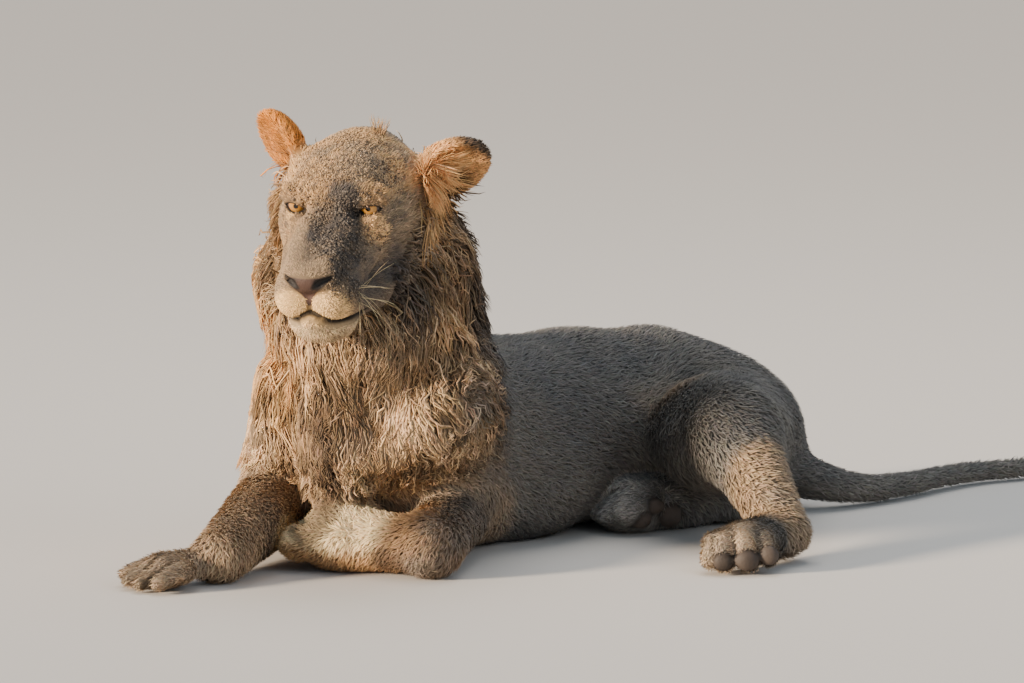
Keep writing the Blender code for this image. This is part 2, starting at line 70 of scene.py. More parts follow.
def egg(points, centre, radii, axes=None):
    """An ellipsoid: q(q - 1)/g, with q the point's length over the radii and g its slope."""
    rel = points - np.asarray(centre, float)
    if axes is not None:
        rel = rel @ axes
    radii = np.asarray(radii, float)
    q = np.linalg.norm(rel / radii, axis=-1)
    slope = np.linalg.norm(rel / radii ** 2, axis=-1) + 1e-9
    return q * (q - 1) / slope


def chain(points, line, radii):
    """A row of tapers, one from each point of a line to the next."""
    links = range(len(line) - 1)
    return np.min([taper(points, line[k], line[k + 1], radii[k], radii[k + 1]) for k in links], axis=0)


def smoothed(values, pieces=3):
    """Rows of values with `pieces` steps from each to the next, along the cubic through them all."""
    values = np.asarray(values, float)
    ends = np.concatenate([2 * values[:1] - values[1:2], values, 2 * values[-1:] - values[-2:-1]])
    a, b, c, d = ends[:-3, None], ends[1:-2, None], ends[2:-1, None], ends[3:, None]
    t = (np.arange(pieces) / pieces).reshape((1, -1) + (1,) * (values.ndim - 1))
    path = b + 0.5 * t * (c - a + t * (2 * a - 5 * b + 4 * c - d + t * (3 * (b - c) + d - a)))
    return np.concatenate([path.reshape((-1,) + values.shape[1:]), values[-1:]])


def near(distance, reach):
    """1 where a distance is 0 or less, falling to 0 at `reach` along a smooth curve."""
    share = np.clip(1 - distance / reach, 0, 1)
    return share * share * (3 - 2 * share)


def between(start, end, share):
    """The place at a share of the way from start to end."""
    return np.array(start) + (np.array(end) - np.array(start)) * share


def unit(vectors):
    """Vectors of length 1."""
    return vectors / (np.linalg.norm(vectors, axis=-1, keepdims=True) + 1e-12)


HEAD_AT = np.array((0.108, -0.655, 0.545))      # midway between the eyes
HEAD_TURN = math.radians(28.5)                  # to the lion's left of -Y
HEAD_DIP = math.radians(9.0)                    # nose down


def head_axes():
    """Columns: the head's left, forward and up, as directions of the whole animal."""
    forward = np.array((math.sin(HEAD_TURN) * math.cos(HEAD_DIP),
                        -math.cos(HEAD_TURN) * math.cos(HEAD_DIP), -math.sin(HEAD_DIP)))
    left = np.array((math.cos(HEAD_TURN), math.sin(HEAD_TURN), 0.0))
    return np.stack([left, forward, np.cross(forward, left)], axis=1)


HEAD_AXES = head_axes()


def in_head(points):
    """Points in the head's own frame: x to its left, y to the nose, z up."""
    return (points - HEAD_AT) @ HEAD_AXES


def from_head(q):
    """Places of the head's frame in the whole animal's."""
    return HEAD_AT + np.asarray(q, float) @ HEAD_AXES.T


def mirrored(q, fold=0.0):
    """The head's frame folded over, so that both sides have x above 0; the fold's edge may be rounded."""
    return np.concatenate([np.sqrt(q[..., :1] ** 2 + fold ** 2), q[..., 1:]], axis=-1)


EARS = {
    "left": dict(root=(0.082, -0.125, -0.002), tip=(0.177, -0.165, 0.038), faces=(0.15, 0.85, -0.30)),
    "right": dict(root=(-0.084, -0.120, 0.020), tip=(-0.150, -0.150, 0.083), faces=(-0.85, 0.50, 0.05)),
}
EAR_HALF_WIDTH, EAR_THICK, EAR_HOLLOW = 0.047, 0.026, 0.024


def ear_axes(root, tip, faces):
    """Columns: across the ear, along it to the tip, and out of its hollow."""
    root, tip, faces = np.array(root), np.array(tip), np.array(faces)
    axis = unit(tip - root)
    faces = unit(faces - (faces @ axis) * axis)
    return np.stack([np.cross(axis, faces), axis, faces], axis=1)


def ear(q, root, tip, faces):
    """A rounded leaf from root to tip with a hollow pressed into the side it faces."""
    axes = ear_axes(root, tip, faces)
    length = np.linalg.norm(np.array(tip) - np.array(root))
    middle = np.array(root) + axes[:, 1] * length * 0.5
    leaf = egg(q, middle, (EAR_HALF_WIDTH, length * 0.57, EAR_THICK), axes)
    hollow = egg(q, middle + axes[:, 2] * EAR_HOLLOW + axes[:, 1] * 0.006,
                 (EAR_HALF_WIDTH * 0.78, length * 0.49, EAR_THICK * 0.85), axes)
    return carve(leaf, hollow, 0.006)


def lid_opening(s):
    """The almond between the lids: where two eggs, one low and one high, lie over each other."""
    turn = np.array(((0.985, 0.0, -0.174), (0.0, 1.0, 0.0), (0.174, 0.0, 0.985)))
    low_egg = egg(s, (0.0605, 0.022, -0.0240), (0.0300, 0.034, 0.0280), turn)
    high_egg = egg(s, (0.0570, 0.022, 0.0110), (0.0260, 0.034, 0.0215), turn)
    return np.maximum(low_egg, high_egg)


def lips_and_jaw(q):
    """The muzzle with its upper lips, and the jaw with its chin: two shapes that meet along the mouth."""
    s = mirrored(q, 0.009)
    lips = taper(s, (0.042, 0.000, -0.050), (0.030, 0.092, -0.090), 0.034, 0.029)
    lips = blend(lips, egg(s, (0.027, 0.101, -0.104), (0.035, 0.045, 0.037)), 0.012)
    lips = blend(lips, taper(s, (0.040, 0.080, -0.116), (0.054, 0.010, -0.124), 0.023, 0.024), 0.016)
    jaw = taper(s, (0.028, 0.040, -0.128), (0.056, -0.062, -0.102), 0.032, 0.044)
    jaw = blend(jaw, egg(q, (0, 0.077, -0.149), (0.050, 0.045, 0.031)), 0.014)
    return lips, blend(jaw, egg(q, (0, 0.098, -0.135), (0.030, 0.040, 0.023)), 0.008)


def head(points):
    """Skull, cheeks, muzzle, jaw and ears, with sockets for the eyes."""
    q = in_head(points)
    s = mirrored(q, 0.008)
    braincase = egg(q, (0, -0.120, -0.001), (0.084, 0.118, 0.079))
    forehead = egg(q, (0, -0.042, 0.010), (0.070, 0.078, 0.048))
    temples = egg(s, (0.066, -0.112, 0.000), (0.040, 0.052, 0.046))
    cheekbones = taper(s, (0.054, 0.000, -0.036), (0.078, -0.085, -0.024), 0.024, 0.030)
    cheeks = egg(s, (0.056, -0.062, -0.066), (0.040, 0.066, 0.062))
    bridge = taper(s, (0.024, 0.000, -0.022), (0.020, 0.122, -0.067), 0.031, 0.022)
    nose = egg(q, (0, 0.136, -0.072), (0.032, 0.021, 0.021))
    brows = taper(s, (0.026, 0.014, 0.018), (0.066, -0.006, 0.015), 0.012, 0.014)
    sockets = egg(s, (0.055, 0.030, -0.001), (0.022, 0.020, 0.013))
    lips, jaw = lips_and_jaw(q)
    shape = braincase
    for mass, soft in ((forehead, 0.030), (temples, 0.030), (cheekbones, 0.025), (cheeks, 0.030),
                       (bridge, 0.022), (lips, 0.016), (nose, 0.008),
                       (jaw, 0.004 + 0.022 * near(q[..., 1], 0.045)), (brows, 0.012)):
        shape = blend(shape, mass, soft)
    shape = carve(shape, sockets, 0.008)
    for leaf in EARS.values():
        shape = blend(shape, ear(q, **leaf), 0.012)
    return shape


def nostril(s):
    """A comma on each side of the nose, wide in its middle and running out to the corner."""
    shape = taper(s, (0.0095, 0.157, -0.086), (0.0200, 0.152, -0.076), 0.0032, 0.0058)
    return blend(shape, taper(s, (0.0200, 0.152, -0.075), (0.0325, 0.138, -0.069), 0.0058, 0.0024), 0.003)


def lip_split(q):
    """The groove from the nose down to the mouth."""
    return taper(q, (0, 0.149, -0.094), (0, 0.137, -0.122), 0.0024, 0.0040)


def mouth_line(q):
    """How far a point is from the seam where the upper lips meet the jaw, on the front half of the muzzle."""
    lips, jaw = lips_and_jaw(q)
    return np.maximum(np.abs(lips - jaw) * 0.6, 0.052 - q[..., 1])


def tear_line(s):
    """The dark channel from the inner corner of the eye down beside the bridge."""
    return taper(s, (0.0390, 0.017, -0.0070), (0.0310, 0.034, -0.030), 0.0022, 0.0014)


EYE = dict(half_spacing=0.054, forward=-0.003, radius=0.0175)


def face_detail(points, shape):
    """The face's finer forms: lids round the eyes, nostrils, the split lip and the line of the mouth."""
    q = in_head(points)
    s = mirrored(q)
    eye_at = (EYE["half_spacing"], EYE["forward"], 0.0)
    lids = np.linalg.norm(s - eye_at, axis=-1) - EYE["radius"] - 0.0024
    shape = blend(shape, lids, 0.007)
    shape = blend(shape, taper(s, (0.043, 0.022, 0.0085), (0.076, 0.000, 0.0085), 0.0045, 0.0040), 0.006)
    shape = carve(shape, lid_opening(s), 0.0012)
    shape = carve(shape, tear_line(s), 0.006)
    shape = carve(shape, nostril(s), 0.0030)
    shape = carve(shape, lip_split(q), 0.006)
    return carve(shape, np.maximum(mouth_line(q) - 0.0010, -shape - 0.0035), 0.0035)


def neck_and_mane(points):
    """The neck inside its short mane, from the shoulders up behind the cheeks."""
    shape = taper(points, (0.004, -0.434, 0.240), (0.014, -0.494, 0.420), 0.158, 0.168)
    return blend(shape, taper(points, (0.050, -0.560, 0.330), (0.030, -0.560, 0.170), 0.090, 0.080), 0.060)


def trunk(points):
    """Rib cage, fore chest, loin, croup, and the belly spread on the ground."""
    shape = taper(points, (-0.010, -0.360, 0.165), (-0.045, -0.020, 0.142), 0.148, 0.140)
    shape = blend(shape, egg(points, (0.000, -0.200, 0.085), (0.118, 0.160, 0.095)), 0.050)
    shape = blend(shape, egg(points, (0.020, -0.440, 0.230), (0.150, 0.150, 0.150)), 0.050)
    shape = blend(shape, egg(points, (-0.010, -0.440, 0.110), (0.105, 0.130, 0.112)), 0.040)
    shape = blend(shape, taper(points, (-0.045, -0.020, 0.140), (-0.012, 0.110, 0.142), 0.140, 0.134), 0.040)
    return blend(shape, taper(points, (-0.012, 0.110, 0.142), (0.055, 0.245, 0.105), 0.130, 0.093), 0.040)


FORE = {
    "left": dict(shoulder=(0.112, -0.455, 0.250), elbow=(0.030, -0.315, 0.078),
                 wrist=(0.200, -0.550, 0.048), toes=(-0.042, -0.622, 0.047),
                 arm=(0.076, 0.066), forearm=(0.062, 0.048), foot=(0.110, 0.086)),
    "right": dict(shoulder=(-0.066, -0.549, 0.250), elbow=(-0.140, -0.515, 0.088),
                  wrist=(0.012, -0.792, 0.039), toes=(-0.020, -0.946, 0.020),
                  arm=(0.066, 0.064), forearm=(0.064, 0.043), foot=(0.124, 0.043)),
}


def paw(points, heel, toes, wide, high):
    """A sole from heel to toes with four toes fanned over its front half."""
    heel, toes = np.array(heel), np.array(toes)
    forward = toes - heel
    length = np.linalg.norm(forward)
    forward = forward / length
    across = unit(np.cross(forward, (0, 0, 1.0)))
    shape = taper(points, heel, heel + forward * length * 0.62, high * 0.5, high * 0.5 + 0.004)
    axes = np.stack([across, forward, np.cross(across, forward)], axis=1)
    sole = egg(points, heel + forward * length * 0.62 - np.array((0, 0, 0.004)),
               (wide * 0.50, length * 0.30, high * 0.46), axes)
    shape = blend(shape, sole, 0.020)
    for place in (-1.0, -0.34, 0.34, 1.0):
        knuckle = heel + forward * length * 0.50 + across * place * wide * 0.27 + np.array((0, 0, 0.006))
        reach = length * (0.99 - 0.10 * place ** 2) - high * 0.30
        tip = heel + forward * reach + across * place * wide * 0.36 - np.array((0, 0, 0.006))
        shape = blend(shape, taper(points, knuckle, tip, high * 0.34, high * 0.33), 0.006)
    for place in (-0.68, 0.0, 0.68):
        root = heel + forward * length * 0.70 + across * place * wide * 0.32 + np.array((0, 0, high * 0.34))
        end = heel + forward * length * 1.02 + across * place * wide * 0.38 + np.array((0, 0, high * 0.05))
        shape = carve(shape, taper(points, root, end, 0.0020, 0.0070), 0.010)
    return shape


def foreleg(points, shoulder, elbow, wrist, toes, arm, forearm, foot):
    """Upper arm, forearm and paw."""
    shape = taper(points, shoulder, elbow, *arm)
    shape = blend(shape, taper(points, elbow, wrist, *forearm), 0.030)
    return blend(shape, paw(points, wrist, toes, *foot), 0.020)


HIND = {
    "left": dict(hip=(0.105, 0.160, 0.130), knee=(0.300, -0.030, 0.168), hock=(0.460, -0.084, 0.045),
                 toes=(0.492, -0.235, 0.036), thigh=(0.108, 0.074), shank=(0.066, 0.036)),
    "right": dict(hip=(-0.020, 0.170, 0.110), knee=(-0.030, -0.100, 0.070), hock=(0.186, 0.160, 0.043),
                  toes=(0.082, -0.098, 0.040), thigh=(0.105, 0.060), shank=(0.056, 0.037),
                  foot=(0.092, 0.080), sole_from=0.45),
}
FLANK = (-0.030, -0.020, -0.005)                # the fold of the thigh's front edge
# The left hind foot's four toes, turned to its left: each from its knuckle to its tip, with a radius.
TOES_TURNED = (((0.448, -0.221, 0.042), (0.460, -0.238, 0.0225), 0.0190),
               ((0.466, -0.219, 0.045), (0.481, -0.234, 0.0215), 0.0200),
               ((0.488, -0.198, 0.048), (0.505, -0.209, 0.0230), 0.0205),
               ((0.504, -0.168, 0.046), (0.519, -0.181, 0.0270), 0.0190))
# Pads on the two hind soles that are turned up: place, and half the width, depth and height.
PADS = [((0.4840, -0.2400, 0.0215), (0.0135, 0.0080, 0.0125)),
        ((0.5090, -0.2160, 0.0225), (0.0180, 0.0085, 0.0145)),
        ((0.5270, -0.1880, 0.0290), (0.0145, 0.0080, 0.0140)),
        ((0.1440, -0.0620, 0.0240), (0.0180, 0.0095, 0.0140)),
        ((0.1560, -0.0420, 0.0430), (0.0145, 0.0090, 0.0115)),
        ((0.1580, -0.0130, 0.0250), (0.0175, 0.0095, 0.0175))]
PAD_AXES = np.stack([(0.7071, 0.7071, 0.0), (0.7071, -0.7071, 0.0), (0.0, 0.0, 1.0)], axis=1)


def turned_foot(points, hock):
    """The foot that lies on its outer side: the long instep, its sole, and four toes side by side."""
    middle = np.mean([np.array(toe[0]) for toe in TOES_TURNED], axis=0)
    shape = taper(points, hock, middle - (0.004, -0.030, 0.004), 0.036, 0.034)
    for knuckle, _, radius in TOES_TURNED:
        shape = blend(shape, taper(points, between(hock, knuckle, 0.72), knuckle, 0.024, radius), 0.010)
    toes = [taper(points, knuckle, tip, radius, radius - 0.001) for knuckle, tip, radius in TOES_TURNED]
    return np.minimum(shape, np.min(toes, axis=0))


def hindleg(points, hip, knee, hock, toes, thigh, shank, foot=None, sole_from=0.0):
    """Thigh, shank, the long hind foot and its toes. With no foot given, it is the one that lies turned."""
    shape = taper(points, hip, knee, *thigh)
    fold = between(hip, knee, 0.72) + np.array(FLANK)
    shape = blend(shape, egg(points, fold, (0.085, 0.085, 0.080)), 0.040)
    shape = blend(shape, taper(points, knee, hock, *shank), 0.030)
    if foot is None:
        return blend(shape, turned_foot(points, hock), 0.020)
    shape = blend(shape, taper(points, hock, between(hock, toes, 0.55), shank[1], 0.034), 0.020)
    return blend(shape, paw(points, between(hock, toes, sole_from), toes, *foot), 0.020)


TAIL_LINE = ((0.062, 0.250, 0.085), (0.150, 0.285, 0.052), (0.182, 0.372, 0.028), (0.184, 0.472, 0.023),
             (0.169, 0.565, 0.022), (0.165, 0.660, 0.020), (0.186, 0.745, 0.019), (0.200, 0.850, 0.018),
             (0.172, 0.945, 0.018))
TAIL_RADII = (0.062, 0.038, 0.026, 0.022, 0.020, 0.019, 0.018, 0.017, 0.016)
TUFT_LINE = ((0.170, 0.948, 0.020), (0.148, 0.985, 0.025), (0.112, 1.014, 0.023), (0.074, 1.030, 0.013))
TUFT_RADII = (0.017, 0.026, 0.023, 0.010)


def body_parts(points):
    """The distance to each part on its own, in the order in which they are joined."""
    return {
        "trunk": trunk(points),
        "fore_left": foreleg(points, **FORE["left"]),
        "fore_right": foreleg(points, **FORE["right"]),
        "hind_left": hindleg(points, **HIND["left"]),
        "hind_right": hindleg(points, **HIND["right"]),
        "neck": neck_and_mane(points),
        "head": head(points),
        "tail": chain(points, smoothed(TAIL_LINE), smoothed(TAIL_RADII)),
        "tuft": chain(points, TUFT_LINE, TUFT_RADII),
    }


LEGS = {"fore_left": FORE["left"], "fore_right": FORE["right"],
        "hind_left": HIND["left"], "hind_right": HIND["right"]}
JOINS = {"fore_left": 0.035, "fore_right": 0.035, "hind_left": 0.085, "hind_right": 0.012,
         "neck": 0.050, "head": 0.040, "tail": 0.030, "tuft": 0.020}
HAIR_DEPTH = {"trunk": 0.006, **dict.fromkeys(LEGS, 0.006), "neck": 0.024, "head": 0.003,
              "tail": 0.006, "tuft": 0.012}
PAW_DEPTH, FACE_DEPTH = 0.004, 0.0010
FLOOR_GAP = 0.0006                              # how far skin and hair stay clear of the floor


def around(points, centre, inner, outer):
    """1 within `inner` of a place, falling smoothly to 0 at `outer`."""
    return near(np.linalg.norm(points - np.asarray(centre), axis=-1) - inner, outer - inner)


def joined(parts):
    """All parts in one shape. Each leg joins the trunk by itself, so that no web grows between two."""
    shape = np.min([blend(parts["trunk"], parts[name], JOINS[name]) for name in LEGS], axis=0)
    for name in ("neck", "head", "tail", "tuft"):
        shape = blend(shape, parts[name], JOINS[name])
    return shape


def paw_near(points, parts):
    """1 on each foot, falling to 0 above its wrist or hock."""
    return np.max([around(points, leg["toes"], 0.08, 0.14) * near(parts[name] - 0.004, 0.010)
                   for name, leg in LEGS.items()], axis=0)


def hair_depth(points, parts):
    """How far the coat stands off the skin: each part's own depth, weighted by how near that part is."""
    weights = {name: np.exp(-np.clip(distance, -0.05, 1) / 0.012) for name, distance in parts.items()}
    total = sum(weights.values())
    depth = sum(HAIR_DEPTH[name] * weight for name, weight in weights.items()) / total
    for leg in LEGS.values():
        instep = between(leg["toes"], leg.get("wrist", leg.get("hock")), 0.25)
        depth = depth + (PAW_DEPTH - depth) * around(points, instep, 0.05, 0.12)
    s = mirrored(in_head(points))
    muzzle = around(s, (0.0, 0.090, -0.070), 0.085, 0.125)
    eyes = around(s, (0.055, 0.010, -0.010), 0.045, 0.075)
    return depth + (FACE_DEPTH - depth) * np.maximum(muzzle, eyes)


def hide(points):
    """The skin: the whole animal less the depth of its coat, with the finer forms of face and feet."""
    parts = body_parts(points)
    shape = np.maximum(joined(parts), -points[..., 2]) + hair_depth(points, parts)
    shape = face_detail(points, shape)
    for place, radii in PADS:
        shape = blend(shape, egg(points, place, radii, PAD_AXES), 0.005)
    return np.maximum(shape, FLOOR_GAP - points[..., 2])


def outward(points, shape, step=0.0008):
    """The direction in which a shape's distance grows: differences along each axis."""
    ways = np.eye(3) * step
    return np.stack([shape(points + way) - shape(points - way) for way in ways], axis=-1) / (2 * step)


def settle(points, shape, turns=3, most=0.004):
    """Points moved onto the surface where shape is 0, along its slope."""
    for _ in range(turns):
        slope = outward(points, shape)
        size = np.maximum((slope ** 2).sum(-1), 0.2)
        step = slope * (shape(points) / size)[:, None]
        length = np.linalg.norm(step, axis=-1, keepdims=True)
        points = points - step * np.minimum(1, most / np.maximum(length, 1e-9))
    return points


def netted(shape, low, high, step):
    """Where shape is 0, as points and four-sided faces, closed and facing outward.

    Each cell of the grid that the surface crosses holds one point, the mean of the crossings on its
    edges, and each crossed edge of the grid is ringed by the face of its four cells. The distances
    are worked out on every second grid point first, and on the rest only near the surface.
    """
    lines = [np.arange(low[k], high[k], step) for k in range(3)]
    grid = np.stack(np.meshgrid(*lines, indexing="ij"), axis=-1)
    coarse = shape(grid[::2, ::2, ::2].reshape(-1, 3)).reshape([(len(line) + 1) // 2 for line in lines])
    field = coarse.repeat(2, 0).repeat(2, 1).repeat(2, 2)[:len(lines[0]), :len(lines[1]), :len(lines[2])]
    close = np.abs(field) < 4 * step
    field[close] = shape(grid[close])
    inside = field < 0
    cells, places, faces, flip = [], [], [], []
    for k in range(3):
        u, v = (k + 1) % 3, (k + 2) % 3
        first = np.moveaxis(np.moveaxis(inside, k, 0)[:-1], 0, k)
        second = np.moveaxis(np.moveaxis(inside, k, 0)[1:], 0, k)
        at = np.argwhere(first != second)
        end = at + np.eye(3, dtype=int)[k]
        a, b = field[tuple(at.T)], field[tuple(end.T)]
        crossing = grid[tuple(at.T)] + np.eye(3)[k] * (step * a / (a - b))[:, None]
        ring = np.repeat(at[:, None], 4, axis=1)
        ring[:, 1:3, u] -= 1
        ring[:, 2:4, v] -= 1
        ring = np.ravel_multi_index(tuple(np.moveaxis(ring, -1, 0)), field.shape)
        cells.append(ring)
        places.append(np.repeat(crossing[:, None], 4, axis=1))
        flip.append(a > 0)
    rings, places, flip = np.concatenate(cells), np.concatenate(places), np.concatenate(flip)
    faces = np.unique(rings.reshape(-1), return_inverse=True)[1]
    count = np.bincount(faces)
    points = np.stack([np.bincount(faces, places.reshape(-1, 3)[:, k]) / count for k in range(3)], axis=1)
    faces = faces.reshape(-1, 4)
    faces[flip] = faces[flip][:, ::-1]
    return points, faces


def split(points, faces, chosen):
    """Each chosen face becomes four round its middle. The others take in the new points on their edges.

    The points, the small faces, and the other faces as rows of eight with -1 where nothing is new.
    """
    quads, others = faces[chosen], faces[~chosen]
    ends = np.sort(np.stack([quads, np.roll(quads, -1, axis=1)], axis=-1).reshape(-1, 2), axis=1)
    edges, which = np.unique(ends, axis=0, return_inverse=True)
    middle = len(points) + which.reshape(-1, 4)
    centre = len(points) + len(edges) + np.arange(len(quads))
    small = [np.stack([quads[:, k], middle[:, k], centre, middle[:, k - 1]], axis=1) for k in range(4)]
    keys = edges[:, 0] * len(points) + edges[:, 1]
    ends = np.sort(np.stack([others, np.roll(others, -1, axis=1)], axis=-1), axis=-1)
    wanted = ends[..., 0] * len(points) + ends[..., 1]
    found = np.clip(np.searchsorted(keys, wanted), 0, len(keys) - 1)
    rows = np.stack([others, np.where(keys[found] == wanted, len(points) + found, -1)], axis=-1)
    points = np.concatenate([points, points[edges].mean(axis=1), points[quads].mean(axis=1)])
    return points, np.concatenate(small), rows.reshape(-1, 8)


def mesh_object(name, points, rows):
    """An object of these points and faces; a face is a row of point numbers, with -1 in unused places."""
    rows = np.asarray(rows)
    kept = rows >= 0
    counts = kept.sum(axis=1)
    mesh = bpy.data.meshes.new(name)
    mesh.vertices.add(len(points))
    mesh.vertices.foreach_set("co", np.ascontiguousarray(points, np.float32).ravel())
    mesh.loops.add(int(counts.sum()))
    mesh.loops.foreach_set("vertex_index", rows[kept].astype(np.int32))
    mesh.polygons.add(len(rows))
    mesh.polygons.foreach_set("loop_start", (np.cumsum(counts) - counts).astype(np.int32))
    mesh.update(calc_edges=True)
    mesh.shade_smooth()
    obj = bpy.data.objects.new(name, mesh)
    bpy.context.scene.collection.objects.link(obj)
    return obj


def give(obj, name, values):
    """Puts one colour for each point on the mesh, under a name that a material reads."""
    layer = obj.data.attributes.new(name, "FLOAT_COLOR", "POINT")
    layer.data.foreach_set("color", np.ascontiguousarray(values, np.float32).ravel())


def clouds(points, size, seed):
    """Smooth random values from -1 to 1: those of a lattice of that size, eased from corner to corner."""
    table = np.random.default_rng(seed).uniform(-1, 1, (32, 32, 32))
    cell = np.floor(points / size).astype(int)
    part = points / size - cell
    part = part * part * (3 - 2 * part)
    total = 0
    for corner in np.ndindex(2, 2, 2):
        x, y, z = np.moveaxis(np.abs(1 - np.array(corner) - part), -1, 0)
        total = total + x * y * z * table[tuple(np.moveaxis((cell + corner) % 32, -1, 0))]
    return total


def srgb(red, green, blue):
    """A colour as a screen names it, from 0 to 255, as an amount of light."""
    share = np.array((red, green, blue)) / 255
    return np.where(share <= 0.04045, share / 12.92, ((share + 0.055) / 1.055) ** 2.4)


TAWNY, MUD, PALE_MUD = srgb(170, 142, 110), srgb(102, 95, 88), srgb(142, 128, 110)
SLATE, GOLD, CREAM = srgb(90, 82, 76), srgb(212, 166, 112), srgb(248, 220, 170)
UMBER, DARK, LEATHER = srgb(116, 90, 66), srgb(30, 24, 21), srgb(80, 58, 49)
PAD_GREY, EAR_GOLD, EAR_RIM = srgb(88, 76, 67), srgb(218, 148, 78), srgb(70, 60, 52)


def leather_share(q):
    """1 on the bare leather of the nose: a shield, wide above and narrow below."""
    heights = (-0.112, -0.100, -0.088, -0.074, -0.067)
    half = np.interp(q[:, 2], heights, (0.0030, 0.0060, 0.0140, 0.0300, 0.0345))
    beyond = np.maximum(np.abs(q[:, 0]) - half, np.abs(q[:, 2] + 0.0890) - 0.0225)
    return near(beyond + 0.001, 0.003) * (q[:, 1] > 0.120)


def ear_frame(q, side):
    """Across, along and out of an ear, as shares of its size: along is 0 at the root, 1 at the tip."""
    leaf = EARS[side]
    rel = (q - np.array(leaf["root"])) @ ear_axes(**leaf)
    length = np.linalg.norm(np.array(leaf["tip"]) - np.array(leaf["root"]))
    return rel / (EAR_HALF_WIDTH, length, EAR_THICK)


def pad_share(points):
    """1 on the bare toe and heel pads."""
    pads = [egg(points, place, np.array(radii) + 0.001, PAD_AXES) for place, radii in PADS]
    return np.max([near(pad, 0.003) for pad in pads], axis=0)


